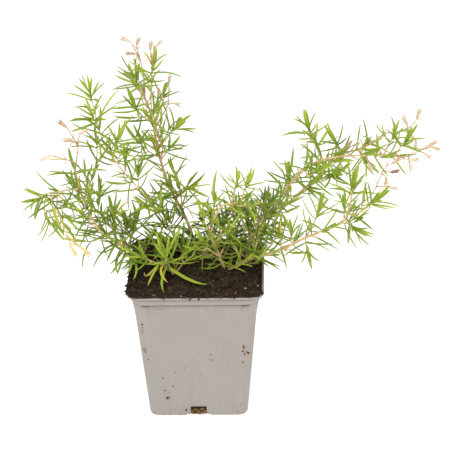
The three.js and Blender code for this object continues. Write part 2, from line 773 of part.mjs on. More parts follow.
// A dried stalk that ends in its calyx, a slim cup that opens towards its end.
function stalkSolid({ path, mouth }) {
  const middle = new THREE.Vector3().lerpVectors(path[path.length - 1], mouth, 0.5);
  return taperedRod([...path, middle, mouth], [...path.map(() => STALK_RADIUS), ...CALYX_RADII], STALK_SIDES);
}

function makeHead(stalks, twigs) {
  const around = twigs.map(({ path, radius, sides }) => rod(stretched(path), radius + HOLE_GAP, sides));
  return mainBody(join(stalks.map(stalkSolid)).subtract(join(around)));
}

const finish = (color, roughness) => new THREE.MeshStandardMaterial({ color, roughness, metalness: 0 });
const potPlastic = finish(COLOURS.pot, 0.55);
const peat = finish(COLOURS.soil, 1);
const foliage = finish(COLOURS.foliage, 0.6);
const driedTissue = finish(COLOURS.dried, 0.8);

// What each leaf has to stay clear of: the stems, heads and leaves of the other nodes.
const taken = [];
const take = (owner, points) => points.forEach((place) => taken.push({ owner, place }));

const stems = Object.entries(STEMS).map(([name, stem]) => {
  const twigs = twigsOf(stem);
  const size = stem.leaf ?? LEAF;
  const leaves = stem.broad.map((points) => broadLeaf(points.map(vector), twigs, BROAD_WIDTH * size[1]));
  for (const { path } of twigs) take(name, dotsOf(path));
  for (const leaf of leaves) take(name, samplesOf(leaf));
  return { name, size, twigs, leaves };
});

const heads = Object.entries(HEADS).map(([name, head]) => {
  const { twigs } = stems.find((stem) => stem.name === head.on);
  const stalks = stalksOf(head, twigs);
  for (const { path, mouth } of stalks) take(name, dotsOf([...path, mouth]));
  return { name, stalks, twigs };
});

stems.forEach(({ name, size, twigs, leaves }, number) => {
  const isFree = (p) => !taken.some(({ owner, place }) => owner !== name && place.distanceTo(p) < KEEP_APART);
  const isClear = (leaf) => samplesOf(leaf).every((p) => abovePot(p) && isFree(p));
  twigs.forEach((twig, index) => {
    const grown = leavesOf(twig, 100 * number + index, size, isClear);
    for (const leaf of grown) take(name, samplesOf(leaf));
    leaves.push(...grown);
  });
});

const plant = new THREE.Group();
plant.name = "potted_creeping_phlox";
plant.add(meshOf("pot", makePot(), potPlastic));
plant.add(meshOf("soil", makeSoil(stems.map(({ twigs }) => twigs[0])), peat));
for (const { name, twigs, leaves } of stems) plant.add(meshOf(name, makeStem(twigs, leaves), foliage));
for (const { name, stalks, twigs } of heads) plant.add(meshOf(name, makeHead(stalks, twigs), driedTissue));

export default plant;
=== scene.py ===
"""Potted creeping phlox: the finished look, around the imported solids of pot, soil, stems and dried heads.

Lengths are in millimetres and become metres where a mesh is made. +Z is up, +X to the right, +Y to the
back, and the origin is the middle of the underside of the pot, as in the solids. Angles are in radians,
except the camera's. Two numbers for one size are a range, or what it is at the start and at the end.
"""
from types import SimpleNamespace

import bpy
import numpy as np
from mathutils import Matrix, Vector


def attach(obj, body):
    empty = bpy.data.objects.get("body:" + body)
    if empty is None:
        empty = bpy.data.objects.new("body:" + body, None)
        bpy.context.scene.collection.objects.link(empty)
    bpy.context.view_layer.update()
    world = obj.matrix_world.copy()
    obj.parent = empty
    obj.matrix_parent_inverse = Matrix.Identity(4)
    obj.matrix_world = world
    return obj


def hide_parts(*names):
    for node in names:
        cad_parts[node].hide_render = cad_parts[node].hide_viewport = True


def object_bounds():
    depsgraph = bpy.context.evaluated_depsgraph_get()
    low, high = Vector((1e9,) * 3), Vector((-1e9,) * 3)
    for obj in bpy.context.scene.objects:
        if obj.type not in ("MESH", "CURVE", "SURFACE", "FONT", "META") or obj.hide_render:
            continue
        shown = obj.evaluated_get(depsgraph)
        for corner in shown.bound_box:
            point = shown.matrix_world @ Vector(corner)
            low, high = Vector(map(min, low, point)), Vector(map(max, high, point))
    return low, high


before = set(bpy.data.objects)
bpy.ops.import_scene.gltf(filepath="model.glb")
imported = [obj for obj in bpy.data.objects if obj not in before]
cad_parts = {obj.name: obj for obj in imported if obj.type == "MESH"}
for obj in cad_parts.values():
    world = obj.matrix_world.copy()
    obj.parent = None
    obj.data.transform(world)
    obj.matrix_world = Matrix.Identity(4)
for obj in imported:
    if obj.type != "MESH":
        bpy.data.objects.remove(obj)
solid_low, solid_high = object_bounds()

MM = 0.001
UP = np.array([0.0, 0.0, 1.0])
BACK = np.array([0.0, 1.0, 0.0])
RIGHT = np.array([1.0, 0.0, 0.0])
QUARTER_TURN = np.array([[0, -1], [1, 0]])
QUARTERS = [np.linalg.matrix_power(QUARTER_TURN, quarter) for quarter in range(4)]
BOX_LOW, BOX_HIGH = (np.array(corner) / MM for corner in (solid_low, solid_high))
GOLDEN_TURN = 2.4

SEED = 11
rng = np.random.default_rng(SEED)

# Camera. The focal length is in pixels of the 452-pixel picture, and the angles are in degrees.
PICTURE = 452
VIEW_FROM = (49.9, -1084.8, 627.5)
VIEW_PITCH = 24.82
VIEW_YAW = -1.58
VIEW_ROLL = -1.14
FOCAL_PIXELS = 1807
SENSOR = 36

# Pot, with its widths across the flats
RIM_WIDTH = 90
BAND_TOP_WIDTH = 88.4
BAND_LOW_WIDTH = 83
BODY_TOP_WIDTH = 80.6
BASE_WIDTH = 65
POT_HEIGHT = 95
LIP_HEIGHT = 2
BAND_HEIGHT = 5                  # a little taller than in the solid
BAND_TOP = POT_HEIGHT - LIP_HEIGHT
BAND_LOW = BAND_TOP - BAND_HEIGHT
RIM_CORNER = 9.6
BODY_CORNER = 6
WALL = 1.4
FLOOR = 1.6
SLOT_WIDTH = 10
SLOT_LOW = 1
SLOT_HIGH = 6.7
FOOT_GAP_WIDTH = 16.5
FOOT_GAP_HEIGHT = 1

# Soil. A mound is (x, y, spread, height) and a ripple is (height, waves along x, waves along y).
SOIL_LEVEL = 93.7
MOUNDS = (
    (-46, 8, 20, 2.6),
    (-20, 40, 14, 3.6),
    (12, 40, 16, 1.8),
    (2, 8, 22, 1.6),
    (-44, -34, 10, 1.2),
)
RIPPLES = ((0.45, 0.34, 0.29), (0.3, 0.71, -0.53))

# Stems and leaves of the solids, which the finished ones follow
STEP = 13                        # of a path in the solids
FINE_STEP = 2.6                  # of a finished path
STEM_SIDES = 6
SHOOT_SIDES = 4
SHOOT_RADIUS = 0.75
SHOOT_BARE = 5                   # length at a shoot's foot without leaves
LEAF = (14, 1.5)                 # length and width
BROAD_WIDTH = 1.27               # of a listed broad leaf, in widths of the stem's other leaves
UPRIGHT = 0.25                   # a listed leaf whose level share is less than this faces the front
LEAF_WAIST = 0.5                 # where along its length a leaf bends
NODE_GAP = 16                    # between pairs of leaves
NODE_LEAN = 1
TUFT_GAP = 2
TUFT_PAIRS = 3
TUFT_LEAN = (1.15, 0.3)
TUFT_SIZE = (1.05, 0.75)
LEAN_RANGE = (0.85, 1.2)
LENGTH_RANGE = (0.8, 1.2)
WIDTH_RANGE = (0.85, 1.15)
CURL_RANGE = (-0.3, 0.2)
AIM_RANGE = (-0.15, 0.15)
TRIES = 8
SHORTER = 0.05                   # at each further try
SEEDS_PER_STEM = 100
LEAF_SAMPLES = 6                 # points along a leaf at which its room is measured
DOT_GAP = 2.5                    # the same along a stem
KEEP_APART = 2.4                 # room between the leaves of two stems
ABOVE_SOIL = 2.2


def leafy_stem(**given):
    """A stem as described below, with what most stems have wherever nothing else is given."""
    usual = dict(leaf=LEAF, slim=1, girth=1, broad=[], fill=[], placed=[])
    return SimpleNamespace(**{**usual, **given})


def inner_stem(**given):
    """A small stem whose small leaves, in the middle or at the back, are dark green: painted shade."""
    # the low leaf tint is painted shade of the plant's inside, not the leaves' own colour
    return leafy_stem(**{**dict(tint=0.25, red=0.3, leaf=(12, 1.4)), **given})


def dried_head(**given):
    """A dried head, with what most heads have wherever nothing else is given."""
    return SimpleNamespace(**{**dict(gold=0, dark=None, more=[], bracts=[]), **given})


# Stems. The "tint" of the leaves runs from 0, dark green, to 1, yellow-green, and "red" is how reddish the
# bark is. "slim" narrows the leaves, "girth" the bark, and "bare" is the length at the foot without leaves.
# Each shoot starts on the stem or on an earlier shoot. "broad" leaves are listed one by one, from root to
# tip.
# "fill" shoots and "placed" leaves are further ones that only the finished plant has. A placed leaf is its
# route, its width, and its age from 0, green, through 0.3, yellow, to 1, dry tan.
STEMS = {
    "stem_tall_left": leafy_stem(
        tint=0.55, red=0.6, radius=1.25, bare=26,
        route=[
            (0, 31, 82), (-1, 32, 92), (-8, 36, 114), (-19, 40, 137), (-26, 44, 161), (-31, 50, 188),
            (-41, 56, 210),
        ],
        shoots=[
            [(-25, 43, 156), (-23, 40, 165), (-28, 37, 185), (-29, 35, 205), (-27, 33, 226)],
            [(-29, 46, 174), (-26, 52, 188), (-22, 56, 198)],
            [(-30, 48, 180), (-36, 40, 189), (-40, 34, 199)],
            [(-25, 43, 157), (-31, 36, 164), (-38, 28, 175)],
            [(-26, 44, 162), (-21, 52, 167), (-14, 60, 173)],
            [(-24, 43, 155), (-19, 54, 160)],
            [(-10, 37, 119), (-12, 44, 130), (-16, 48, 144)],
            [(-15, 38, 128), (-9, 30, 140), (-4, 26, 143)],
        ],
        broad=[
            [(-41, 56, 209), (-46, 54, 220), (-49, 52, 227)],
            [(-27, 33, 225), (-26, 32, 234), (-26, 30, 243)],
            [(-38, 28, 175), (-43, 24, 184), (-46, 21, 193)],
            [(-37, 29, 174), (-44, 22, 177), (-49, 18, 177)],
            [(-9, 31, 139), (0, 22, 145), (11, 16, 149)],
            [(-20, 40, 130), (-24, 34, 139), (-29, 30, 148)],
            [(-9, 37, 122), (1, 30, 128), (12, 26, 128)],
        ],
        placed=[
            ([(-19, 40, 137), (-27, 33, 135), (-33, 30, 129)], 1.3, 0.9),
            ([(-13, 38, 125), (-6, 31, 124), (-3, 28, 117)], 1.4, 0.8),
        ],
    ),
    "stem_left": leafy_stem(
        tint=0.6, red=0.2, girth=0.6, radius=1.1, bare=24,
        route=[
            (-8, 24, 82), (-9, 24, 92), (-19, 22, 114), (-35, 16, 142), (-48, 12, 161), (-60, 10, 184),
            (-67, 15, 215),
        ],
        shoots=[
            [(-56, 10, 174), (-53, 4, 181), (-49, 0, 188)],
            [(-46, 12, 159), (-47, 20, 167)],
            [(-38, 15, 146), (-39, 24, 154)],
            [(-29, 17, 134), (-33, 7, 138)],
            [(-61, 11, 192), (-65, 4, 203)],
            [(-15, 23, 105), (-19, 30, 117)],
        ],
        broad=[
            [(-54, 7, 178), (-47, 2, 193), (-38, -2, 206)],
            [(-66, 14, 213), (-70, 12, 222), (-71, 10, 229)],
            [(-61, 12, 196), (-56, 16, 207), (-49, 20, 215)],
        ],
        fill=[
            [(-14, 23, 103), (-22, 14, 108), (-29, 9, 116)],
            [(-11, 24, 97), (-13, 12, 102), (-17, 5, 110)],
            [(-20, 22, 115), (-24, 28, 124), (-25, 31, 134)],
        ],
    ),
    "stem_low_left": leafy_stem(
        tint=0.45, red=0.5, girth=0.85, radius=1.1, bare=22,
        route=[
            (-28, 11, 82), (-29, 10, 92), (-38, 6, 100), (-54, -4, 117), (-63, -10, 128), (-71, -20, 154),
            (-75, -28, 180),
        ],
        shoots=[
            [(-74, -24, 163), (-83, -32, 166), (-92, -38, 167), (-98, -42, 165)],
            [(-70, -20, 153), (-69, -12, 158), (-65, -6, 167), (-63, -1, 178), (-63, 2, 187)],
            [(-63, -10, 128), (-64, -3, 138), (-63, 4, 148)],
            [(-90, -37, 166), (-88, -46, 160)],
            [(-48, 0, 110), (-51, -2, 121), (-54, -5, 137)],
            [(-45, 3, 106), (-48, 8, 113), (-47, 12, 121)],
        ],
        broad=[
            [(-98, -42, 165), (-103, -44, 165), (-109, -46, 164)],
            [(-67, -9, 162), (-70, -16, 171), (-74, -19, 179)],
            [(-63, 2, 186), (-70, -4, 196), (-78, -8, 203)],
            [(-63, -10, 128), (-72, -18, 127), (-86, -26, 136)],
            [(-47, 1, 109), (-50, -8, 104), (-53, -14, 96)],
            [(-47, 12, 120), (-43, 16, 125), (-39, 20, 129)],
        ],
        fill=[
            [(-38, 6, 100), (-34, 2, 108), (-31, 0, 117)],
            [(-45, 3, 106), (-43, 5, 118), (-38, 5, 130)],
            [(-60, -8, 124), (-67, -10, 120), (-74, -14, 122)],
            [(-92, -38, 167), (-94, -42, 157), (-89, -44, 147)],
            [(-86, -34, 166), (-86, -39, 157), (-82, -42, 146)],
            [(-62, -9, 126), (-68.5, -14, 136), (-74, -20, 151), (-75, -25, 164)],
            [(-57, -6, 121), (-59, -5, 130), (-54, -1, 138)],
            [(-47, 0, 110), (-42, 3, 119), (-40, 7, 130)],
        ],
        placed=[
            ([(-53, -4, 114), (-61, -11, 112), (-68, -16, 103)], 2, 0),
            ([(-50, -4, 108), (-52, -10, 106), (-52, -14, 97)], 2.1, 0),
            ([(-54, -4, 112), (-60, -9, 111), (-66, -12, 115)], 1.5, 0),
            ([(-57, -7, 120), (-65, -12, 123), (-74, -16, 129)], 1.8, 0),
            ([(-36, -13, 106), (-42, -20, 106), (-47, -25, 102)], 1.7, 0),
            ([(-37, -10, 106), (-44, -17, 107), (-50, -22, 105)], 1.5, 0),
            ([(-36, -12, 106), (-38, -22, 106), (-41, -30, 101)], 1.4, 0),
        ],
    ),
    "stem_front_left": leafy_stem(
        tint=0.62, red=0.2, slim=0.62, radius=1, bare=16, leaf=(19, 2.1),
        route=[(-14, -8, 84), (-15, -9, 93), (-18, -11, 102), (-20, -14, 109)],
        shoots=[[(-18, -11, 101), (-27, -14, 106), (-36, -16, 111)]],
        broad=[
            [(-19, -13, 102), (-5, -24, 97), (8, -29, 97)],
            [(-19, -12, 103), (-23, -26, 99), (-20, -40, 97)],
            [(-19, -13, 108), (-14, -10, 120), (-8, -6, 129)],
            [(-19, -13, 106), (-10, -18, 107), (0, -20, 109)],
        ],
        fill=[
            [(-15, -9, 94), (-22, 0, 102), (-26, 7, 109)],
            [(-15, -9, 94), (-8, -6, 102), (-1, -6, 108)],
        ],
        placed=[
            ([(-21, -12, 104), (-22, -20, 101), (-18, -28, 98)], 1.6, 0.3),
            ([(-27, -8, 103), (-32, -18, 98), (-34, -16, 100)], 2.2, 0.5),
            ([(-24, -13, 105), (-28, -24, 101), (-31, -33, 98)], 1.6, 0),
            ([(-18, -11, 104), (-22, 0, 113), (-30, 6, 121)], 1.9, 0),
            ([(-18, -11, 105), (-13, 0, 115), (-12, 8, 126)], 1.9, 0),
        ],
    ),
    "stem_front_middle": leafy_stem(
        tint=0.66, red=0.1, slim=0.72, radius=1.1, bare=14, leaf=(12, 1.9),
        route=[
            (19, -2, 84), (19, -2, 93), (15, -4, 106), (10, -7, 124), (14, -8, 138), (20, -8, 145),
            (28, -8, 144), (37, -8, 143),
        ],
        shoots=[
            [(12, -8, 133), (12, -6, 139), (13, -5, 145)],
            [(10, -7, 125), (7, -11, 132), (5, -13, 140)],
            [(15, -4, 105), (8, -10, 114), (5, -13, 121)],
            [(15, -4, 105), (18, -2, 110), (21, 0, 118)],
            [(24, -8, 145), (26, -8, 153), (28, -8, 161)],
            [(30, -8, 144), (32, -10, 154), (35, -11, 161)],
        ],
        broad=[
            [(10, -7, 124), (-2, -16, 117), (-14, -22, 110)],
            [(13, -5, 144), (13, -4, 156), (15, -4, 168)],
            [(13, -5, 144), (4, -12, 148), (-3, -17, 150)],
            [(20, -8, 145), (26, -12, 143), (33, -15, 138)],
            [(18, -2, 98), (26, -8, 98), (33, -12, 97)],
        ],
        fill=[
            [(19, -2, 94), (27, -7, 99), (34, -10, 105)],
            [(12, -6, 116), (18, -10, 123), (24, -13, 130)],
        ],
        placed=[
            ([(24, -8, 146), (26, -10, 153), (27, -10, 160)], 1.3, 0.85),
            ([(17, -2, 100), (10, -9, 99), (2, -12, 101)], 1.3, 0),
            ([(15, -4, 106), (24, -8, 106), (32, -8, 113)], 1.2, 0),
        ],
    ),
    "stem_upper_right": leafy_stem(
        tint=0.55, red=0.2, radius=1.25, bare=28,
        route=[
            (24, 33, 82), (26, 34, 92), (31, 36, 104), (39, 38, 109), (53, 40, 116), (66, 40, 128),
            (82, 36, 146), (94, 35, 160), (110, 34, 166), (120, 35, 171),
        ],
        shoots=[
            [(64, 40, 126), (63, 31, 138), (62, 26, 149)],
            [(85, 36, 150), (85, 28, 159), (81, 22, 170), (75, 18, 187)],
            [(77, 37, 140), (84, 28, 145), (93, 22, 152)],
            [(100, 34, 164), (96, 28, 169), (93, 24, 175)],
            [(109, 34, 166), (113, 26, 161)],
            [(72, 39, 134), (76, 30, 140)],
        ],
        broad=[
            [(75, 18, 186), (71, 15, 193), (66, 12, 199)],
            [(79, 20, 176), (81, 17, 184), (81, 15, 193)],
            [(80, 21, 173), (88, 18, 178), (95, 15, 183)],
            [(62, 26, 148), (63, 24, 161), (65, 22, 173)],
            [(62, 27, 146), (55, 22, 158), (51, 20, 164)],
        ],
        placed=[
            ([(99, 35, 163), (103, 32, 168), (108, 32, 171)], 1.3, 0.9),
            ([(98, 35, 163), (100, 31, 168), (104, 29, 172)], 1.1, 1),
            ([(100, 35, 163), (96, 31, 164), (92, 30, 162)], 1.3, 0.8),
            ([(101, 35, 163), (105, 31, 161), (109, 29, 160)], 1.2, 0.9),
            ([(98, 35, 163), (97, 29, 167), (99, 26, 171)], 1, 0.7),
            ([(117, 34, 168), (121, 28, 175), (127, 26, 179)], 1.9, 0.75),
            ([(116, 34, 168), (118, 28, 174), (125, 25, 176)], 1.5, 0.6),
            ([(112, 34, 167), (110, 28, 172), (109, 26, 177)], 1, 1),
            ([(75, 18, 178), (72, 17, 180), (68, 15, 181)], 1.9, 0.45),
            ([(76, 18, 178), (72, 14, 176), (69, 12, 173)], 1.3, 0.8),
        ],
    ),
    "stem_long_right": leafy_stem(
        tint=0.55, red=0.3, radius=1.1, bare=34,
        route=[
            (28, 20, 82), (29, 20, 93), (35, 20, 106), (45, 20, 119), (63, 16, 149), (77, 14, 163),
            (90, 14, 168), (109, 13, 170), (125, 11, 171), (133, 10, 170),
        ],
        shoots=[
            [(124, 11, 171), (127, 15, 176), (131, 18, 182)],
            [(131, 10, 170), (134, 6, 178), (138, 4, 183)],
            [(72, 15, 159), (75, 8, 158), (79, 4, 162)],
        ],
    ),
    "stem_low_right": leafy_stem(
        tint=0.55, red=0.1, radius=1.15, bare=30,
        route=[
            (21, 3, 83), (23, 2, 92), (30, 0, 99), (39, -4, 104), (55, -12, 113), (72, -20, 126),
            (92, -28, 138), (98, -31, 146), (102, -36, 168),
        ],
        shoots=[
            [(98, -32, 148), (105, -38, 151), (115, -44, 162)],
            [(72, -20, 126), (73, -27, 121)],
            [(72, -20, 126), (77, -16, 133), (81, -14, 142)],
            [(56, -13, 114), (56, -8, 121)],
            [(63, -16, 119), (63, -11, 126)],
            [(97, -30, 144), (97, -24, 151)],
            [(97, -30, 144), (103, -37, 141)],
            [(38, -3, 103), (44, 1, 104)],
        ],
        broad=[
            [(102, -36, 166), (103, -38, 178), (105, -39, 188)],
            [(101, -35, 164), (100, -32, 177), (98, -29, 186)],
            [(98, -31, 145), (106, -39, 136), (113, -41, 130)],
            [(56, -13, 114), (58, -18, 110), (60, -22, 104)],
            [(115, -44, 161), (123, -46, 162), (130, -47, 160)],
        ],
        fill=[
            [(34, -2, 101), (37, 2, 108), (41, 6, 117)],
            [(44, -7, 106), (50, -3, 113), (54, 2, 119)],
        ],
        placed=[
            ([(72, -20, 126), (77, -25, 129), (83, -27, 128)], 1.2, 0.8),
            ([(56, -13, 114), (62, -19, 117), (68, -21, 116)], 1.2, 0.9),
        ],
    ),
    "stem_inner_right": inner_stem(
        radius=0.9, bare=22,
        route=[(30, 7, 84), (31, 6, 94), (36, 4, 110), (40, 2, 123), (45, 0, 142)],
        shoots=[
            [(37, 4, 113), (44, 0, 120)],
            [(40, 2, 123), (33, 6, 129)],
            [(42, 1, 130), (51, -6, 137)],
        ],
        fill=[
            [(31, 6, 94), (38, -4, 100), (42, -12, 107)],
            [(33, 5, 100), (26, -1, 108), (23, -4, 119)],
            [(38, 3, 118), (32, -2, 126), (30, -4, 137)],
            [(42, 1, 130), (49, 4, 136), (54, 6, 144)],
        ],
        placed=[
            ([(44, 0, 140), (47, -4, 147), (51, -6, 149)], 0.9, 1),
            ([(44, 0, 140), (42, -5, 144), (40, -6, 150)], 0.8, 0.9),
        ],
    ),
    "stem_inner_back": inner_stem(
        radius=0.9, bare=20,
        route=[(36, 25, 84), (38, 28, 93), (42, 40, 101), (46, 52, 106), (49, 58, 116)],
        shoots=[
            [(43, 43, 102), (52, 48, 105)],
            [(45, 50, 105), (38, 57, 111)],
        ],
    ),
    "stem_centre_low": inner_stem(
        radius=0.85, bare=14,
        route=[(15, 12, 84), (16, 13, 93), (21, 16, 103), (26, 18, 112)],
        shoots=[[(21, 16, 103), (29, 12, 108)]],
        fill=[
            [(16, 13, 94), (7, 9, 101), (-1, 5, 107)],
            [(17, 14, 97), (14, 4, 103), (10, -2, 112)],
        ],
    ),
    "stem_centre_back": inner_stem(
        radius=0.85, bare=14,
        route=[(10, 29, 84), (10, 30, 94), (13, 36, 102), (17, 42, 109)],
        shoots=[[(13, 36, 102), (4, 42, 107)]],
        fill=[
            [(11, 30, 95), (2, 24, 102), (-6, 20, 109)],
            [(12, 33, 99), (20, 30, 107), (25, 28, 117)],
        ],
    ),
    "stem_back_low": inner_stem(
        radius=0.9, bare=18,
        route=[(12, 34, 84), (13, 35, 94), (16, 41, 101), (19, 54, 106), (22, 66, 108), (24, 76, 106)],
        shoots=[
            [(18, 48, 104), (8, 57, 109)],
            [(20, 58, 106), (31, 66, 108)],
        ],
    ),
}

# Dried heads: the stem that each grows "on", and its stalks. A stalk ends in the foot and mouth of its
# calyx. "more" stalks are further ones that only the finished plant has. "gold" is how yellow the head is,
# "dark" is the number of a dark calyx, and "bracts" are dry leaves, given as placed leaves are.
HEADS = {
    "dried_head_top": dried_head(
        on="stem_tall_left",
        stalks=[
            [(-33, 50, 197), (-34, 49, 207), (-35, 48, 220), (-38, 46, 236), (-36, 46, 242)],
            [(-36, 47, 227), (-39, 44, 234), (-42, 43, 240), (-48, 42, 243)],
            [(-35, 48, 224), (-39, 50, 229), (-46, 51, 229)],
        ],
        more=[
            [(-27, 33, 225), (-26, 32, 235), (-24, 32, 240), (-20, 31, 245)],
            [(-27, 33, 226), (-28, 33, 237), (-27.5, 33, 244)],
        ],
    ),
    "dried_head_top_right": dried_head(
        on="stem_tall_left",
        stalks=[
            [(-29, 47, 175), (-24, 51, 183), (-19, 55, 191), (-18, 57, 205), (-17, 57, 212)],
            [(-19, 55, 191), (-15, 57, 191), (-11, 59, 189)],
            [(-21, 53, 188), (-23, 49, 199), (-25, 47, 206)],
        ],
        more=[
            [(-32, 48, 190), (-35, 44, 197), (-36, 43, 202), (-36, 43, 209)],
            [(-29, 42, 193), (-32, 40, 197), (-30, 39, 201), (-27, 38, 207)],
        ],
    ),
    "dried_head_left": dried_head(
        on="stem_low_left",
        stalks=[
            [(-75, -28, 178), (-73, -27, 188), (-72, -26, 195), (-71, -25, 202), (-65, -25, 205)],
            [(-72, -26, 194), (-75, -29, 202), (-78, -31, 209), (-83, -32, 214)],
            [(-74, -28, 183), (-79, -33, 188), (-88, -38, 193), (-95, -39, 190)],
            [(-72, -26, 196), (-76, -23, 197), (-82, -20, 196)],
        ],
        bracts=[([(-79, -31, 189), (-85, -35, 189), (-91, -38, 190)], 1.8, 0.6)],
    ),
    "dried_head_low_left": dried_head(
        on="stem_low_left", gold=0.6,
        stalks=[
            [(-88, -45, 161), (-83, -49, 155), (-81, -51, 148), (-77, -52, 136), (-74, -52, 129)],
            [(-80, -51, 144), (-72, -54, 138), (-65, -55, 131)],
        ],
        bracts=[([(-79, -50, 143), (-74, -51, 137), (-70, -52, 134)], 1.2, 0.25)],
    ),
    "dried_head_upper_right": dried_head(
        on="stem_upper_right",
        stalks=[
            [
                (118, 35, 170), (126, 33, 177), (133, 31, 179), (140, 29, 181), (147, 27, 190),
                (148, 27, 197),
            ],
            [(140, 29, 181), (141, 31, 184), (137, 33, 190)],
            [(140, 29, 181), (146, 26, 175), (146, 25, 168)],
        ],
        more=[
            [(99, 35, 164), (101, 33, 167), (104, 32, 173)],
            [(103, 35, 165), (105, 32, 168), (109, 31, 172)],
            [(113, 34, 168), (113, 33, 164), (114, 32, 158)],
            [(120, 35, 171), (122, 33, 166), (125, 31, 160)],
        ],
    ),
    "dried_head_right": dried_head(
        on="stem_long_right",
        stalks=[
            [(131, 10, 170), (140, 8, 171), (147, 6, 176), (152, 5, 179), (158, 4, 183)],
            [(147, 6, 176), (155, 9, 177), (161, 11, 174)],
            [(146, 6, 175), (149, 2, 176), (154, 0, 173)],
            [(140, 8, 171), (141, 8, 166), (142, 8, 160)],
        ],
        more=[
            [(112, 13, 170), (114, 10, 166), (117, 8, 160)],
            [(136, 9, 171), (140, 7, 169), (147, 6, 169)],
        ],
    ),
    "dried_head_low_right": dried_head(
        on="stem_low_right", dark=1,
        stalks=[
            [
                (99, -33, 151), (105, -29, 152), (114, -25, 158), (119, -22, 167), (122, -20, 174),
                (127, -19, 177), (133, -18, 181),
            ],
            [(122, -20, 173), (126, -23, 173), (132, -25, 175)],
            [(121, -20, 171), (124, -17, 167), (124, -16, 160)],
            [(117, -23, 163), (124, -25, 164), (131, -27, 163)],
        ],
    ),
}


# Numbers and vectors

def unit(vectors):
    return vectors / np.linalg.norm(vectors, axis=-1, keepdims=True)


def lerp(low, high, share):
    return low + (high - low) * share


def ease(low, high, value):
    """0 below `low`, 1 above `high`, and a smooth rise between them."""
    share = np.clip((value - low) / (high - low), 0, 1)
    return share * share * (3 - 2 * share)


def draw(*seeds):
    """The same number from 0 to 1 each time for the same seeds, as in the solids."""
    scales = (12.9898, 78.233, 37.719, 4.581, 9.173)
    wave = 43758.5453 * np.sin(sum(seed * scale for seed, scale in zip(seeds, scales)))
    return wave - np.floor(wave)


def drawn(bounds, *seeds):
    """The same number between two bounds each time for the same seeds."""
    return lerp(*bounds, draw(*seeds))


def lumps(x, y, size, seed):
    """Smooth random heights from -1 to 1: random values at the corners of squares of `size`, blended
    between."""
    column, row = np.floor(x / size), np.floor(y / size)
    across, along = ease(0, 1, x / size - column), ease(0, 1, y / size - row)
    near = lerp(draw(column, row, seed), draw(column + 1, row, seed), across)
    far = lerp(draw(column, row + 1, seed), draw(column + 1, row + 1, seed), across)
    return 2 * lerp(near, far, along) - 1


def turns(count):
    """Even steps once around a circle."""
    return 2 * np.pi * np.arange(count) / count


# Skins: closed surfaces as arrays of points and faces

def skin(rings, start=None, end=None, **measures):
    """Closed skins. rings[item, level, around] are points. Four-sided faces join each level to the next,
    and a fan of triangles closes each end at its pole. A measure is a number for each point of the
    rings."""
    items, levels, around = rings.shape[:3]
    start = rings[:, 0].mean(1) if start is None else start
    end = rings[:, -1].mean(1) if end is None else end
    points = np.concatenate([start[:, None], rings.reshape(items, -1, 3), end[:, None]], 1)
    level, place = np.meshgrid(np.arange(levels - 1), np.arange(around), indexing="ij")
    low = 1 + level * around + place
    after = 1 + level * around + (place + 1) % around
    quads = np.stack([low, after, after + around, low + around], -1).reshape(-1, 4)
    place = np.arange(around)
    after = (place + 1) % around
    first, last, pole = 1, 1 + (levels - 1) * around, levels * around + 1
    fans = np.concatenate([
        np.stack([0 * place, first + after, first + place], -1),
        np.stack([0 * place + pole, last + place, last + after], -1),
    ])
    shift = (pole + 1) * np.arange(items)[:, None, None]
    made = {
        "points": points.reshape(-1, 3),
        "quads": (quads + shift).reshape(-1, 4),
        "fans": (fans + shift).reshape(-1, 3),
    }
    for key, value in measures.items():
        value = np.broadcast_to(value, (items, levels, around)).reshape(items, -1)
        made[key] = np.concatenate([value[:, :1], value, value[:, -1:]], 1).ravel()
    return made


def joined(skins):
    """Several skins as one, with the faces' numbers moved on to match."""
    shifts = np.cumsum([0] + [len(each["points"]) for each in skins[:-1]])
    whole = {}
    for key in skins[0]:
        parts = [each[key] + shift * (key in ("quads", "fans")) for each, shift in zip(skins, shifts)]
        whole[key] = np.concatenate(parts)
    return whole


def mesh_of(whole):
    """A Blender mesh of a skin, in metres. Each measure becomes an attribute of its points."""
    points, quads, fans = (whole[key] for key in ("points", "quads", "fans"))
    corners = np.concatenate([quads.ravel(), fans.ravel()]).astype(np.int32)
    sizes = np.repeat([4, 3], [len(quads), len(fans)])
    mesh = bpy.data.meshes.new("skin")
    mesh.vertices.add(len(points))
    mesh.vertices.foreach_set("co", (points * MM).astype(np.float32).ravel())
    mesh.loops.add(len(corners))
    mesh.loops.foreach_set("vertex_index", corners)
    mesh.polygons.add(len(sizes))
    mesh.polygons.foreach_set("loop_start", (np.cumsum(sizes) - sizes).astype(np.int32))
    for key, values in whole.items():
        if key not in ("points", "quads", "fans"):
            attribute = mesh.attributes.new(key, "FLOAT", "POINT")
            attribute.data.foreach_set("value", values.astype(np.float32))
    mesh.update(calc_edges=True)
    mesh.validate()
    return mesh


def shown(name, mesh, material):
    """A mesh as an object in the scene, in one material."""
    mesh.name = name
    piece = bpy.data.objects.new(name, mesh)
    bpy.context.scene.collection.objects.link(piece)
    mesh.materials.clear()
    mesh.materials.append(material)
    return piece


def stand_in(name, mesh, material, node):
    """Shows a mesh as a piece that rides on the root and replaces the solid it stands for."""
    piece = shown(name, mesh, material)
    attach(piece, "root")
    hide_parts(node)


# Paths

def smooth(points, step):
    """A Catmull-Rom curve through the points, as straight runs of about `step`."""
    points = np.asarray(points, float)
    around = np.vstack([2 * points[0] - points[1], points, 2 * points[-1] - points[-2]])
    path = [points[:1]]
    for before, start, end, after in zip(around, around[1:], around[2:], around[3:]):
        cuts = max(1, int(np.linalg.norm(end - start) / step + 0.5))
        t = np.arange(1, cuts + 1)[:, None] / cuts
        leave, arrive = (end - before) / 2, (after - start) / 2
        square = 3 * (end - start) - 2 * leave - arrive
        cube = 2 * (start - end) + leave + arrive
        path.append(start + leave * t + square * t**2 + cube * t**3)
    return np.vstack(path)


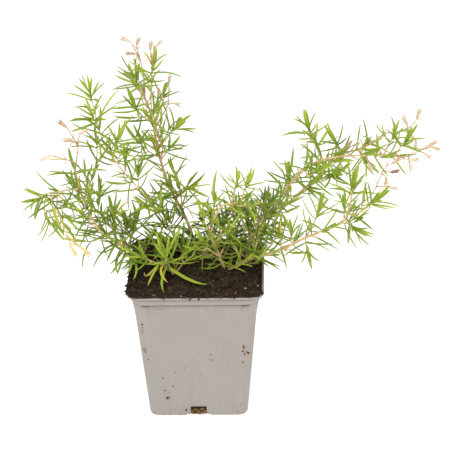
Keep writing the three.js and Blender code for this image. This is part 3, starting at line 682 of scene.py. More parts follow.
def frames_of(headings):
    """Two directions square to each heading, carried along untwisted: each is the last one, turned by the
    smallest turn that takes the last heading to this one."""
    side = unit(np.cross(headings[0], RIGHT if abs(headings[0][1]) > 0.9 else BACK))
    sides = [side]
    for before, now in zip(headings, headings[1:]):
        axis, match = np.cross(before, now), before @ now
        side = side * match + np.cross(axis, side) + axis * (axis @ side) / (1 + match)
        sides.append(side)
    sides = np.array(sides)
    return sides, np.cross(headings, sides)


def length_of(path):
    return np.linalg.norm(np.diff(path, axis=0), axis=1).sum()


def distances_of(path):
    return np.concatenate([[0], np.cumsum(np.linalg.norm(np.diff(path, axis=0), axis=1))])


def along(path, distance):
    """The place at a distance along a path, and the number of the straight run that it lies on."""
    reached = distances_of(path)
    i = min(int(np.searchsorted(reached, distance, side="left")) - 1, len(path) - 2)
    i = max(i, 0)
    return path[i] + unit(path[i + 1] - path[i]) * (distance - reached[i]), i


def nearest(paths, place):
    """The point of the paths that lies nearest to `place`."""
    starts = np.concatenate([path[:-1] for path in paths])
    runs = np.concatenate([np.diff(path, axis=0) for path in paths])
    share = np.clip(((place - starts) * runs).sum(1) / (runs * runs).sum(1), 0, 1)
    found = starts + share[:, None] * runs
    return found[np.argmin(np.linalg.norm(found - place, axis=1))]


def rooted(points, paths):
    """The points as an array, with the first moved onto the paths that it grows from."""
    points = np.array(points, float)
    if paths:
        points[0] = nearest(paths, points[0])
    return points


# Leaves of the solids, worked out again by the same rules

def soil_top(x, y):
    """The height of the soil's surface: a level, bell-shaped mounds and crossed sine ripples."""
    height = SOIL_LEVEL + 0 * x
    for mound_x, mound_y, spread, rise in MOUNDS:
        height = height + rise * np.exp(-((x - mound_x) ** 2 + (y - mound_y) ** 2) / spread**2)
    for rise, by_x, by_y in RIPPLES:
        height = height + rise * np.sin(by_x * x + 1) * np.cos(by_y * y + by_x * x)
    return height


def twigs_of(stem):
    """The stem and its shoots. Each has a coarse path as in the solids, a fine one, a radius and a bare
    length."""
    twigs = []
    for number, points in enumerate([stem.route, *stem.shoots]):
        points = rooted(points, [twig.path for twig in twigs])
        twigs.append(SimpleNamespace(
            path=smooth(points, STEP),
            fine=smooth(points, FINE_STEP),
            radius=SHOOT_RADIUS if number else stem.radius,
            sides=SHOOT_SIDES if number else STEM_SIDES,
            bare=SHOOT_BARE if number else stem.bare,
            has_pairs=True,
        ))
    return twigs


def leaf_at(path, distance, azimuth, lean, curl, length, width):
    """A leaf at `lean` from the twig's direction, on the side that `azimuth` names. Halfway it bends by
    `curl`."""
    place, i = along(path, distance)
    runs = unit(np.diff(path, axis=0))
    sides, overs = frames_of(runs)
    outward = sides[i] * np.cos(azimuth) + overs[i] * np.sin(azimuth)
    middle = place + LEAF_WAIST * length * (runs[i] * np.cos(lean) + outward * np.sin(lean))
    rest = runs[i] * np.cos(lean + curl) + outward * np.sin(lean + curl)
    tip = middle + (1 - LEAF_WAIST) * length * rest
    across = np.cross(runs[i], outward)
    return SimpleNamespace(points=np.array([place, middle, tip]), across=across, width=width, by_hand=False)


def broad_leaf(points, paths, width, **given):
    """A listed leaf placed on the nearest of the paths, facing up."""
    points = rooted(points, paths)
    run = points[2] - points[0]
    across = np.cross(UP, run)
    if np.linalg.norm(across) < UPRIGHT * np.linalg.norm(run):
        across = np.cross(BACK, run)
    return SimpleNamespace(points=points, across=unit(across), width=width, by_hand=True, **given)


def spots_of(twig):
    """Where leaves grow: (distance, lean, size) of pairs at even gaps, then of a tuft that closes up."""
    tuft_start = length_of(twig.path) - TUFT_GAP * TUFT_PAIRS
    spots = [(d, NODE_LEAN, 1) for d in np.arange(twig.bare, tuft_start - NODE_GAP / 3, NODE_GAP)]
    for pair in range(TUFT_PAIRS):
        inner = pair / (TUFT_PAIRS - 1)
        spots.append((tuft_start + TUFT_GAP * (pair + 0.5), lerp(*TUFT_LEAN, inner), lerp(*TUFT_SIZE, inner)))
    return spots


def samples_of(leaf):
    """Points along a leaf from near its root to its tip."""
    root, middle, tip = leaf.points
    share = np.arange(1, LEAF_SAMPLES + 1)[:, None] / LEAF_SAMPLES
    lower = lerp(root, middle, share / LEAF_WAIST)
    upper = lerp(middle, tip, (share - LEAF_WAIST) / (1 - LEAF_WAIST))
    return np.where(share < LEAF_WAIST, lower, upper)


def dots_of(path):
    """Points at even gaps along a path."""
    length = length_of(path)
    return np.array([along(path, d)[0] for d in np.linspace(0, length, int(np.ceil(length / DOT_GAP)) + 1)])


def above_pot(points):
    """Whether all the points keep clear of the soil and the pot."""
    x, y, z = points.T
    outside = np.maximum(abs(x), abs(y)) > RIM_WIDTH / 2 + ABOVE_SOIL
    return np.all(outside | (z > np.maximum(soil_top(x, y), POT_HEIGHT) + ABOVE_SOIL))


taken = []


def take(owner, points):
    """Keeps the room at these points for their owner, a stem or a head."""
    taken.append((owner, points))


def gap_around(points, owner=None):
    """The smallest distance from the points to those that any other owner has taken."""
    others = np.concatenate([each for other, each in taken if other != owner])
    return np.linalg.norm(points[:, None] - others[None], axis=2).min()


def is_clear(leaf, owner):
    """Whether a leaf of the solids keeps clear of the pot, the soil and what grows on other stems."""
    points = samples_of(leaf)
    return above_pot(points) and gap_around(points, owner) >= KEEP_APART


def paired_leaves(twig, owner, seed, size):
    """The twig's leaves in opposite pairs that turn from spot to spot. One with no room tries again,
    shorter."""
    leaves = []
    for turn, (distance, lean, share) in enumerate(spots_of(twig)):
        for half in (0, 1):
            for attempt in range(TRIES):
                seeds = (seed, turn, half, attempt)
                leaf = leaf_at(
                    twig.path,
                    distance,
                    (2 * turn / twig.sides + half) * np.pi + drawn(AIM_RANGE, *seeds, 1) * (1 + attempt),
                    lean * drawn(LEAN_RANGE, *seeds, 2),
                    drawn(CURL_RANGE, *seeds, 3),
                    size[0] * share * drawn(LENGTH_RANGE, *seeds, 4) * (1 - SHORTER * attempt),
                    size[1] * drawn(WIDTH_RANGE, *seeds, 5),
                )
                if is_clear(leaf, owner):
                    leaf.share = distance / length_of(twig.path)
                    leaves.append(leaf)
                    break
    return leaves


# Finer leaves and bark

BREADTH = 1.12                   # how much broader the finished leaves are than those of the solids
STRETCH = 1.2                    # and how much longer
TUFT_STRETCH = 1.3               # the same in the tufts
TUFT_SHARE = (0.8, 0.95)         # of a twig's length, from where its tuft starts to where it is fullest
TUFT_OPENING = (0.16, 0.42)      # how far a tuft's leaves are turned outwards, at the root and from halfway
TIP_SHARE = (0.75, 1)
TIP_BREADTH = 1.3                # how much broader a leaf is at the tip of its twig
BROAD_TRIM = 0.9                 # of the solids' width that a finished broad leaf keeps
SHOWY_WIDTH = 3.9                # of the largest leaf, in front, and its age
SHOWY_AGE = 0.07
PLACED_SHARE = 0.8               # where on its twig a placed leaf is taken to be, for its tint

FINE_GAP = 11                    # between pairs of added leaves
FILL_GAP = 10                    # the same on shoots that the solids do not have
FINE_APART = 1.4                 # room that an added leaf keeps from the others
FINE_TRIES = 4
FINE_SHORTER = 0.08              # at each further try
FINE_END = 0.5                   # from a twig's end to its last added leaf, at least
AZIMUTH_SWING = (-0.4, 0.4)
RETRY_SWING = (-0.3, 0.3)
ADDED_LEAN = (0.7, 1.15)
ADDED_CURL = (-0.35, 0.4)
ADDED_SIZE = (0.9, 1.25)
ADDED_WIDTH = (0.8, 1.1)
SMALL_WIDTH = 0.75               # how much narrower the smallest leaf is
AXIL_SHARE = 0.3                 # of the axils that hold a small leaf
AXIL_SWING = (-0.7, 0.7)
AXIL_LEAN = (0.35, 1.0)
AXIL_SIZE = (0.35, 0.85)
TUFT_REACH = 7                   # length of twig that a tuft covers
TUFT_EXTRA = 3                   # leaves added to a tuft, and those of a tuft that the solids do not have
TUFT_WHOLE = 4
EXTRA_LEAN = (1.3, 0.5)          # from the outermost to the innermost of them
EXTRA_SIZE = (1.15, 0.85)
EXTRA_SWING = (0.85, 1.15)
FRONT_CLEAR = (-13, 104)         # no leaf is added in front of this and below it, over the pot
TOWARDS_FRONT = 0.72             # an added leaf that points more to the front than this is left out

ADDED_BARE = 2
FILL_STEP = 2
SIDE_SHOOT_STEP = 1.5
SIDE_SHOOT_LENGTH = (6, 11)
SIDE_SHOOT_RADIUS = 0.5
SIDE_SHOOT_LEAN = (0.7, 1.1)
SIDE_SHOOT_CURL = -0.4
SIDE_SHOOT_SWING = (-0.5, 0.5)

TINT_RISE = 0.22                 # how much brighter the leaves are at a twig's end than at its foot
TINT_MIDDLE = 0.6
TINT_SPREAD = 0.15
INNER_SHADE = 0.3                # how much darker green the leaves low among the stems are: painted shade
INNER_FRONT = (-8, 12)           # where that shade starts and is whole, from front to back
INNER_TOP = (140, 105)           # and downwards
INNER_ASIDE = 5                  # how far it reaches past the pot
YELLOW_SHARE = 0.006
YELLOW_AGE = (0.25, 0.5)
TWIST_RANGE = (-0.5, 0.5)
SIDE_BEND = (-0.055, 0.055)      # of its length, how far a leaf's middle may lie off a straight line

LEAF_STATIONS = np.array([0, 0.07, 0.2, 0.42, 0.64, 0.83, 0.95])
LEAF_ASIDE = np.array([0.5, 0.24, 0, -0.24, -0.5, 0])
LEAF_ABOVE = np.array([0.02, 0.2, 0.08, 0.2, 0.02, -0.26])
LEAF_FOLD = 0.38
LEAF_FOOT = 0.6                  # width at its foot, where the broadest is 1
LEAF_BROADEST = 0.35
LEAF_FALL = 3.8
LEAF_THIN = 0.55                 # thickness where it has no width, where the thickest is 1
LEAF_THICKEST = 1.6              # width from which a leaf grows no thicker

BARK_SIDES = 8
BARK_TAPER = (0.9, 0.5)          # share of its radius at a stem's foot and end
SHOOT_TAPER = (0.9, 0.6)         # the same of a shoot
SHOOT_GIRTH = 0.8
BARK_AGE = (1, 0.55)             # at a stem's foot and end, from 0, green, to 1, woody
SHOOT_AGE = (0.6, 0.05)          # the same of a shoot
JOINT_SWELLING = 0.22
JOINT_LENGTH = 1.3


def opened(leaf, share):
    """Turns a leaf outwards about its own width, more from its middle to its tip."""
    root, middle, tip = leaf.points
    lower, upper = (
        run * np.cos(share * angle) + np.cross(leaf.across, run) * np.sin(share * angle)
        for run, angle in zip((middle - root, tip - middle), TUFT_OPENING)
    )
    leaf.points = np.array([root, root + lower, root + lower + upper])


def has_room(leaf):
    """Whether an added leaf keeps clear of the pot, the soil and all that grows, lies inside the solids'
    box, and neither hangs over the pot's front nor points to the front."""
    points = samples_of(leaf)
    x, y, z = points.T
    over_front = np.any((y < FRONT_CLEAR[0]) & (z < FRONT_CLEAR[1]) & (abs(x) < RIM_WIDTH / 2))
    to_front = -unit(points[-1] - points[0])[1] > TOWARDS_FRONT
    inside = np.all(points > BOX_LOW) and np.all(points < BOX_HIGH)
    if over_front or to_front or not inside or not above_pot(points[1:]):
        return False
    return gap_around(points[LEAF_SAMPLES // 2:]) >= FINE_APART


def added_spots(twig):
    """Where a twig gets further leaves: (distance, azimuth, lean, size) of pairs between those of the
    solids, of small ones in the axils, and of a fuller tuft."""
    total = length_of(twig.fine)
    gap, extra = (FINE_GAP, TUFT_EXTRA) if twig.has_pairs else (FILL_GAP, TUFT_WHOLE)
    spots = []
    for turn, distance in enumerate(np.arange(twig.bare, total - TUFT_REACH, gap)):
        azimuth = turn * np.pi / 2 + rng.uniform(*AZIMUTH_SWING)
        for half in (0, np.pi):
            if turn % 2 or not twig.has_pairs:
                spots.append((distance, azimuth + half, rng.uniform(*ADDED_LEAN), rng.uniform(*ADDED_SIZE)))
            if rng.uniform() < AXIL_SHARE:
                aim = azimuth + half + rng.uniform(*AXIL_SWING)
                spots.append((distance, aim, rng.uniform(*AXIL_LEAN), rng.uniform(*AXIL_SIZE)))
    for k in range(extra):
        share = (k + 0.5) / extra
        lean = lerp(*EXTRA_LEAN, share) * rng.uniform(*EXTRA_SWING)
        spots.append((total - TUFT_REACH * (1 - share), k * GOLDEN_TURN, lean, lerp(*EXTRA_SIZE, share)))
    return spots


def added_leaves(twig, size):
    """The leaves at those spots. One with no room tries again, turned and shorter."""
    total = length_of(twig.fine)
    leaves = []
    for distance, azimuth, lean, share in added_spots(twig):
        for attempt in range(FINE_TRIES):
            aim = azimuth + rng.uniform(*RETRY_SWING) * (attempt > 0)
            curl = rng.uniform(*ADDED_CURL)
            length = STRETCH * size[0] * share * (1 - FINE_SHORTER * attempt)
            width = size[1] * lerp(SMALL_WIDTH, 1, share) * rng.uniform(*ADDED_WIDTH)
            leaf = leaf_at(twig.fine, min(distance, total - FINE_END), aim, lean, curl, length, width)
            if has_room(leaf):
                leaf.share = distance / total
                leaves.append(leaf)
                break
    return leaves


def added_shoot(points, step, radius):
    """A shoot that the solids do not have."""
    return SimpleNamespace(
        fine=smooth(points, step), radius=radius, sides=SHOOT_SIDES, bare=ADDED_BARE, has_pairs=False,
    )


def side_shoots(twig):
    """Short shoots along a twig. Each starts halfway between two of the solids' pairs of leaves, and bends
    towards the direction of the twig. Every third one is missing."""
    shoots = []
    starts = np.arange(twig.bare + NODE_GAP / 2, length_of(twig.fine) - TUFT_REACH, NODE_GAP)
    for turn, distance in enumerate(starts):
        azimuth = turn * GOLDEN_TURN + rng.uniform(*SIDE_SHOOT_SWING)
        lean = rng.uniform(*SIDE_SHOOT_LEAN)
        if turn % 3 < 2:
            length = rng.uniform(*SIDE_SHOOT_LENGTH)
            guide = leaf_at(twig.fine, distance, azimuth, lean, SIDE_SHOOT_CURL, length, 1)
            shoots.append(added_shoot(guide.points, SIDE_SHOOT_STEP, SIDE_SHOOT_RADIUS))
    return shoots


def gathered(leaves, key):
    return np.array([getattr(leaf, key) for leaf in leaves])


def leaf_skins(leaves):
    """Leaves as one batch. Each follows the curve (1-t)^2 root + 2t(1-t) bend + t^2 tip, which passes
    through its middle. Its width grows like a quarter sine wave to its broadest and then falls to a point.
    The section is a shallow V with a groove above the midrib and a keel below, and it twists a little
    towards the tip."""
    root, middle, tip = np.swapaxes(gathered(leaves, "points"), 0, 1)[:, :, None]
    across, width, twist = (gathered(leaves, key)[:, None] for key in ("across", "width", "twist"))
    twist = (twist * LEAF_STATIONS)[..., None]
    t = LEAF_STATIONS[None, :, None]
    bend = 2 * middle - (root + tip) / 2
    centre = (1 - t) ** 2 * root + 2 * t * (1 - t) * bend + t**2 * tip
    heading = unit((1 - t) * (bend - root) + t * (tip - bend))
    above = unit(np.cross(heading, np.broadcast_to(across, heading.shape)))
    aside = np.cross(above, heading)
    turned = aside * np.cos(twist) + above * np.sin(twist)
    above = above * np.cos(twist) - aside * np.sin(twist)
    growing = lerp(LEAF_FOOT, 1, np.sin(np.pi / 2 * np.minimum(LEAF_STATIONS / LEAF_BROADEST, 1)))
    falling = 1 - np.clip((LEAF_STATIONS - LEAF_BROADEST) / (1 - LEAF_BROADEST), 0, 1) ** LEAF_FALL
    out = (width * growing * falling)[..., None] * LEAF_ASIDE
    thick = lerp(LEAF_THIN, 1, growing * falling)[None, :, None]
    lift = LEAF_ABOVE * thick * np.minimum(width, LEAF_THICKEST)[..., None] + LEAF_FOLD * abs(out)
    rings = centre[:, :, None] + out[..., None] * turned[:, :, None] + lift[..., None] * above[:, :, None]
    tint, age = (gathered(leaves, key)[:, None, None] for key in ("tint", "age"))
    return skin(rings, root[:, 0], tip[:, 0], across=LEAF_ASIDE + 0.5, along=t, tint=tint, age=age)


def rod_skin(path, radii, sides, **measures):
    """A round rod carried along a path: at each point a ring of `sides` points, square to the path."""
    side, over = frames_of(unit(np.gradient(path, axis=0)))
    angle = turns(sides)[:, None]
    around = np.cos(angle) * side[:, None] + np.sin(angle) * over[:, None]
    rings = path[:, None] + radii[:, None, None] * around
    measures = {key: np.broadcast_to(value, len(path))[None, :, None] for key, value in measures.items()}
    return skin(rings[None], start=path[:1], end=path[-1:], **measures)


def bark_skin(twig, tone, girth):
    """A twig's rod. Its radius falls from foot to end, and swells like a bell curve at joints with even
    gaps."""
    is_stem = twig.sides == STEM_SIDES
    reached = distances_of(twig.fine)
    share = reached / reached[-1]
    to_joint = abs((reached - twig.bare + FINE_GAP / 2) % FINE_GAP - FINE_GAP / 2)
    swelling = 1 + JOINT_SWELLING * np.exp(-((to_joint / JOINT_LENGTH) ** 2)) * (reached > twig.bare - 2)
    taper = lerp(*(BARK_TAPER if is_stem else SHOOT_TAPER), share)
    radii = girth * twig.radius * taper * swelling * (1 if is_stem else SHOOT_GIRTH)
    age = lerp(*(BARK_AGE if is_stem else SHOOT_AGE), share)
    return rod_skin(twig.fine, radii, BARK_SIDES, age=age, tint=tone)


# Pot

CORNER_STEPS = 7
SIDE_CUTS = np.array([0.03, 0.05, 0.08, *np.linspace(0.14, 0.86, 19), 0.92, 0.95, 0.97])
BODY_LEVELS = 26
PANEL_RELIEF = 0.4               # how far the body's corners stand proud of its flat sides
PANEL_EDGE = 0.045               # of a side, from its end to its panel
PANEL_RISE = 0.05                # of half a side, over which the relief rises
CORNER_FLATNESS = 0.16
FLUSH_HEIGHT = 9                 # over which the body's corners swell to meet the band
FLUSH_GAP = 0.15
# A cutter's rings, from behind the wall to before it: how far inside it, and the share of the flare
CUTTER_INWARD = np.array([6.0, 1.2, 0.5, -1.5])
CUTTER_FLARE = np.array([0, 0, 0.35, 1])
CUTTER_CORNER = 0.1              # of its half width, a cutter's corner radius
SLOT_FLARE = 0.9
FOOT_GAP_LOW = -1                # a little below the foot, so that the gap is cut through
FOOT_GAP_FLARE = 0.5


def square_outline(cuts=SIDE_CUTS, corner_steps=CORNER_STEPS):
    """The unit outline of a square with round corners: for each point, where its corner's centre lies on
    the square, and its direction from that centre."""
    angle = np.linspace(0, np.pi / 2, corner_steps + 1)
    arc = np.stack([np.cos(angle), np.sin(angle)], -1)
    side = np.stack([1 - 2 * cuts, 1 + 0 * cuts], -1)
    centres = np.vstack([np.ones((corner_steps + 1, 2)), side])
    directions = np.vstack([arc, np.tile([0.0, 1.0], (len(cuts), 1))])
    return [np.concatenate([given @ turn.T for turn in QUARTERS]) for given in (centres, directions)]


def near_corner(centres):
    """0 along a flat side of the outline and 1 at its corners, with a quick rise at the panel's edge."""
    return ease(1 - 2 * PANEL_EDGE, 1 - 2 * PANEL_EDGE + PANEL_RISE, np.abs(centres).min(1))


def square_rings(profile, outline, relief=0, flatness=0):
    """Rings of a square with round corners, one for each (height, half width, corner radius): the corner's
    centre plus its radius, in the outline's direction. Corners are flattened by `flatness` and stand proud
    of the flat sides by `relief`."""
    centres, directions = outline
    height, half, corner = np.array(profile, float).T[:, :, None]
    relief, flatness = (np.broadcast_to(given, len(profile))[:, None] for given in (relief, flatness))
    diagonal = np.abs(2 * directions[:, 0] * directions[:, 1])
    radius = corner * (1 - flatness * diagonal**2) + near_corner(centres) * relief
    flat = (half - corner)[..., None] * centres + radius[..., None] * directions
    return np.concatenate([flat, np.broadcast_to(height[..., None], (*flat.shape[:2], 1))], -1)


def body_half(z):
    """Half the width across the pot's flat sides at a height below the rim band."""
    return lerp(BASE_WIDTH, BODY_TOP_WIDTH, z / BAND_LOW) / 2


def on_side(turn, x, y, z):
    """Points of the front side, turned to another side of the pot."""
    return np.concatenate([np.stack([x, y], -1) @ turn.T, z[..., None]], -1)


def slot_skins():
    """Cutters for the drain slot and the foot gap of each side: square tubes that flare towards the
    outside."""
    centres, directions = square_outline(np.array([0.5]), 3)
    outline = centres * (1 - CUTTER_CORNER) + directions * CUTTER_CORNER
    cutters = []
    for low, high, width, flare in (
        (SLOT_LOW, SLOT_HIGH, SLOT_WIDTH, SLOT_FLARE),
        (FOOT_GAP_LOW, FOOT_GAP_HEIGHT, FOOT_GAP_WIDTH, FOOT_GAP_FLARE),
    ):
        grow = flare * CUTTER_FLARE[:, None]
        x = outline[:, 0] * (width / 2 + grow)
        z = (low + high) / 2 + outline[:, 1] * ((high - low) / 2 + grow)
        y = (-BASE_WIDTH / 2 + CUTTER_INWARD)[:, None] + 0 * x
        cutters += [skin(on_side(turn, x, y, z)[None]) for turn in QUARTERS]
    return joined(cutters)


def pot_skin():
    """The pot's wall and floor: rings up the outside, over the lip and down the inside."""
    rim, band_top, band_low = RIM_WIDTH / 2, BAND_TOP_WIDTH / 2, BAND_LOW_WIDTH / 2
    outside = [
        (0, body_half(0) - 1.1, 5),
        (0, body_half(0) - 0.7, 5.3),
        (0.15, body_half(0) - 0.35, 5.6),
        (0.5, body_half(0.5) - 0.08, 5.9),
        (1.1, body_half(1.1), BODY_CORNER),
        *((z, body_half(z), BODY_CORNER) for z in np.linspace(4, BAND_LOW - 2.2, BODY_LEVELS)),
        (BAND_LOW - 0.9, body_half(BAND_LOW - 0.9), BODY_CORNER),
        (BAND_LOW - 0.25, body_half(BAND_LOW), BODY_CORNER),
        (BAND_LOW - 0.05, body_half(BAND_LOW) + 0.35, 7),
        (BAND_LOW, band_low - 0.35, RIM_CORNER - 0.3),
        (BAND_LOW + 0.12, band_low - 0.1, RIM_CORNER),
        (BAND_LOW + 0.4, band_low, RIM_CORNER),
        (BAND_LOW + 2, lerp(band_low, band_top, 0.45), RIM_CORNER),
        (BAND_TOP - 0.5, band_top - 0.1, RIM_CORNER),
        (BAND_TOP - 0.3, band_top - 0.3, RIM_CORNER),
        (BAND_TOP - 0.1, band_top - 0.6, RIM_CORNER),
        (BAND_TOP + 0.1, band_top - 0.6, RIM_CORNER),
        (BAND_TOP + 0.25, rim - 0.4, RIM_CORNER),
        (BAND_TOP + 0.4, rim - 0.1, RIM_CORNER),
        (BAND_TOP + 0.7, rim, RIM_CORNER),
        (POT_HEIGHT - 0.6, rim, RIM_CORNER),
        (POT_HEIGHT - 0.25, rim - 0.12, RIM_CORNER - 0.1),
        (POT_HEIGHT - 0.05, rim - 0.4, RIM_CORNER - 0.3),
        (POT_HEIGHT, rim - 0.75, RIM_CORNER - 0.6),
    ]
    inside = [
        (POT_HEIGHT, rim - 1.0, RIM_CORNER - 0.9),
        (POT_HEIGHT - 0.15, rim - 1.3, RIM_CORNER - 1.2),
        (POT_HEIGHT - 0.6, rim - WALL, RIM_CORNER - WALL),
        (BAND_TOP, band_top - WALL, RIM_CORNER - WALL),
        (BAND_LOW, band_low - WALL, RIM_CORNER - WALL),
        (BAND_LOW - WALL, body_half(BAND_LOW) - WALL, BODY_CORNER - WALL),
        (FLOOR + 20, body_half(FLOOR + 20) - WALL, BODY_CORNER - WALL),
        (FLOOR, body_half(FLOOR) - WALL, BODY_CORNER - WALL),
    ]
    profile = np.array(outside + inside, float)
    height = profile[:, 0]
    on_body = (np.arange(len(profile)) < len(outside)) & (height > 1) & (height < BAND_LOW - 0.5)
    centres, directions = square_outline()
    rings = square_rings(profile, (centres, directions), PANEL_RELIEF * on_body, CORNER_FLATNESS * on_body)
    flush = square_rings([(z, band_low - FLUSH_GAP, RIM_CORNER) for z in height], (centres, directions))
    share = (on_body * ease(BAND_LOW - FLUSH_HEIGHT, BAND_LOW - 0.5, height))[:, None] * near_corner(centres)
    rings = lerp(rings, flush, share[..., None])
    return skin(rings[None], np.zeros((1, 3)), FLOOR * UP[None])


def cut_away(whole, cutter, material):
    """A mesh of one skin with another cut away from it."""
    body, tool = (shown("cut", mesh_of(each), material) for each in (whole, cutter))
    cut = body.modifiers.new("cut", "BOOLEAN")
    cut.operation, cut.solver, cut.use_self, cut.object = "DIFFERENCE", "EXACT", True, tool
    mesh = bpy.data.meshes.new_from_object(body.evaluated_get(bpy.context.evaluated_depsgraph_get()))
    for used in (body, tool):
        bpy.data.objects.remove(used)
    return mesh


# Soil

INSIDE_GAP = 0.3                 # between the peat and the pot's wall
PEAT_RISE = 0.7                  # how much higher the finished soil lies than the solid
PEAT_LUMPS = ((11, 0.5, 1), (5, 0.55, 2), (2.6, 0.55, 3), (1.3, 0.35, 4))    # (size, height, seed)
PEAT_LEVELS = 84
SOIL_REACH = 44.6                # how far the soil reaches over the lip in front
HEAP_REACH = 45.4                # and along the left side, where it is heaped
HEAP_X = (-20, -38)              # where the heap starts and is whole
HEAP_Y = (-47, -36)
FRONT_Y = (-30, -40)             # where the soil starts to cover the lip in front, and covers all of it
PATCHES = 0.35                   # the most of its reach that it spreads elsewhere, here and there
PATCH_RANGE = (-0.4, 0.8)
PATCH_LUMPS = (6, 5)             # (size, seed)
EDGE_LUMPS = (1.7, 6)
COVER_LUMPS = (1.8, 8)
LIP_COVER = 0.35                 # thickness of the soil on the lip, and how much more is on the heap
HEAP_COVER = 0.5
LIP_ROUGHNESS = (0.2, 0.5)       # height of its lumps in front, and on the heap
LIP_DEPTH = (3.5, 1.2)           # how far inside the rim the soil starts to follow the lip, and follows it

CRUMB_SIDES = 6
CRUMB_POLAR = np.array([2.4, 1.57, 0.8])    # angles of its rings from its top
CRUMB_ROUGHNESS = (0.65, 1.25)
CRUMB_STRETCH = (0.6, 1.3)
CRUMB_FLATNESS = np.array([1, 1, 0.75])
CRUMB_POLE = 0.7                 # how high its top is, for a size of 1
CRUMB_COUNT = 2900
CRUMB_SIZE = (0.3, 1.7)
CRUMB_RARITY = 4                 # the higher, the fewer large ones
CRUMB_TONE = (0, 0.42)
CHIP_COUNT = 44
CHIP_SIZE = (0.3, 0.95)
CHIP_TONE = (0.4, 0.62)
EDGE_CRUMB_COUNT = 260
EDGE_CRUMB_OUT = (-1.2, 0.35)    # from the rim's edge outwards
EDGE_CRUMB_SWING = (-0.4, 0.4)
EDGE_CRUMB_RISE = (0.2, 0.8)
EDGE_CRUMB_SIZE = (0.3, 0.95)
EDGE_CRUMB_TONE = (0, 0.45)
HEAP_GROWTH = 1.35               # of the crumbs along the left side
FLECK_RISE = 0.3
FLECKS = (                       # (x, y, size, tone)
    (26.3, -37.7, 1.1, 0.68),
    (37, -35.7, 1, 0.66),
    (-26.6, -39.7, 1, 0.64),
    (40.9, -27.1, 0.9, 0.85),
    (32.8, -32, 0.7, 1),
    (-9, -41, 0.6, 0.95),
    (12, -36, 0.5, 0.7),
)

FIBRE_COUNT = 34
FIBRE_INSET = 6
FIBRE_LENGTH = (3, 8)
FIBRE_RADIUS = (0.1, 0.16)
FIBRE_TONE = (0.4, 0.66)
FIBRE_RISE = (0, 0.7)
FIBRE_WANDER = 0.35
FIBRE_TAPER = np.array([0.5, 1, 1, 0.9, 0.8, 0.4])
FIBRE_SIDES = 5

LITTER_COUNT = 16
LITTER_MIDDLE = np.array([-4, 14])
LITTER_SPREAD = np.array([28, 20])
LITTER_REACH = 41
LITTER_LENGTH = (6, 12)
LITTER_RISE = (0.5, 1.6)
LITTER_WIDTH = (0.7, 1.3)
LITTER_TILT = 0.2
LITTER_TINT = 0.3
LITTER_AGE = (0.75, 1)
LITTER_TWIST = (-1.5, 1.5)


def spread_over_lip(x, y):
    """How far the soil has spread over the lip: all of the way along the left side and in front, and
    otherwise only here and there."""
    left = ease(*HEAP_X, x) * ease(*HEAP_Y, y)
    here_and_there = PATCHES * ease(*PATCH_RANGE, lumps(x, y, *PATCH_LUMPS))
    return np.maximum(np.maximum(left, ease(*FRONT_Y, y)), here_and_there), left


def peat_height(x, y):
    """The solid's soil surface, raised and roughened by lumps of four sizes, and lifted onto the lip where
    it has spread over it."""
    height = soil_top(x, y) + PEAT_RISE
    for size, rise, seed in PEAT_LUMPS:
        height = height + rise * lumps(x, y, size, seed)
    straight = RIM_WIDTH / 2 - RIM_CORNER
    from_rim = RIM_CORNER - np.hypot(np.maximum(abs(x) - straight, 0), np.maximum(abs(y) - straight, 0))
    spread, left = spread_over_lip(x, y)
    cover = POT_HEIGHT + LIP_COVER + HEAP_COVER * left
    cover = cover + lerp(*LIP_ROUGHNESS, left) * lumps(x, y, *COVER_LUMPS)
    near_rim = ease(*LIP_DEPTH, from_rim)
    height = lerp(height, np.maximum(height, cover), near_rim * spread)
    return lerp(height, np.minimum(height, POT_HEIGHT - 0.25), near_rim * (1 - ease(0, 0.3, spread)))


def soil_outline():
    return square_outline(np.linspace(0.01, 0.99, 62), 10)


def soil_skin():
    """The peat: rings up the inside of the pot, out over the lip where it has spread, and in to the middle
    of the top, where each point takes the height of the roughened surface."""
    inset = WALL + INSIDE_GAP
    wall = RIM_WIDTH / 2 - inset
    *rings, edge = square_rings([
        (FLOOR + INSIDE_GAP, body_half(FLOOR) - WALL - 1.2, 3.5),
        (FLOOR + 1.5, body_half(FLOOR + 1.5) - inset, BODY_CORNER - WALL),
        (FLOOR + 10, body_half(FLOOR + 10) - inset, BODY_CORNER - WALL),
        (BAND_LOW - WALL, body_half(BAND_LOW) - inset, BODY_CORNER - WALL),
        (BAND_TOP - 1, BAND_TOP_WIDTH / 2 - inset - 0.3, RIM_CORNER - WALL),
        (0, wall, RIM_CORNER - WALL),
    ], soil_outline())
    edge = edge[:, :2]
    x, y = edge.T
    spread, left = spread_over_lip(x, y)
    reach = lerp(SOIL_REACH, HEAP_REACH, left) + lumps(x, y, *EDGE_LUMPS) * lerp(*LIP_ROUGHNESS, left)
    out = edge * (1 + spread * (reach - wall) / wall)[:, None]
    under = lerp(POT_HEIGHT - 0.6, POT_HEIGHT + 0.06, ease(0, 0.15, spread))
    rings.append(np.column_stack([edge, np.minimum(under - 0.1, POT_HEIGHT - 0.4)]))
    rings.append(np.column_stack([lerp(edge, out, 0.97), under]))
    rings.append(np.column_stack([out, under + 0.12]))
    for share in np.linspace(0.993, 0.02, PEAT_LEVELS):
        x, y = (out * share).T
        lowest = under + 0.15 if share > 0.98 else 0
        rings.append(np.column_stack([x, y, np.maximum(peat_height(x, y), lowest)]))
    middle = peat_height(np.zeros(1), np.zeros(1))
    return skin(np.array(rings)[None], (FLOOR + INSIDE_GAP) * UP[None], middle * UP[None])


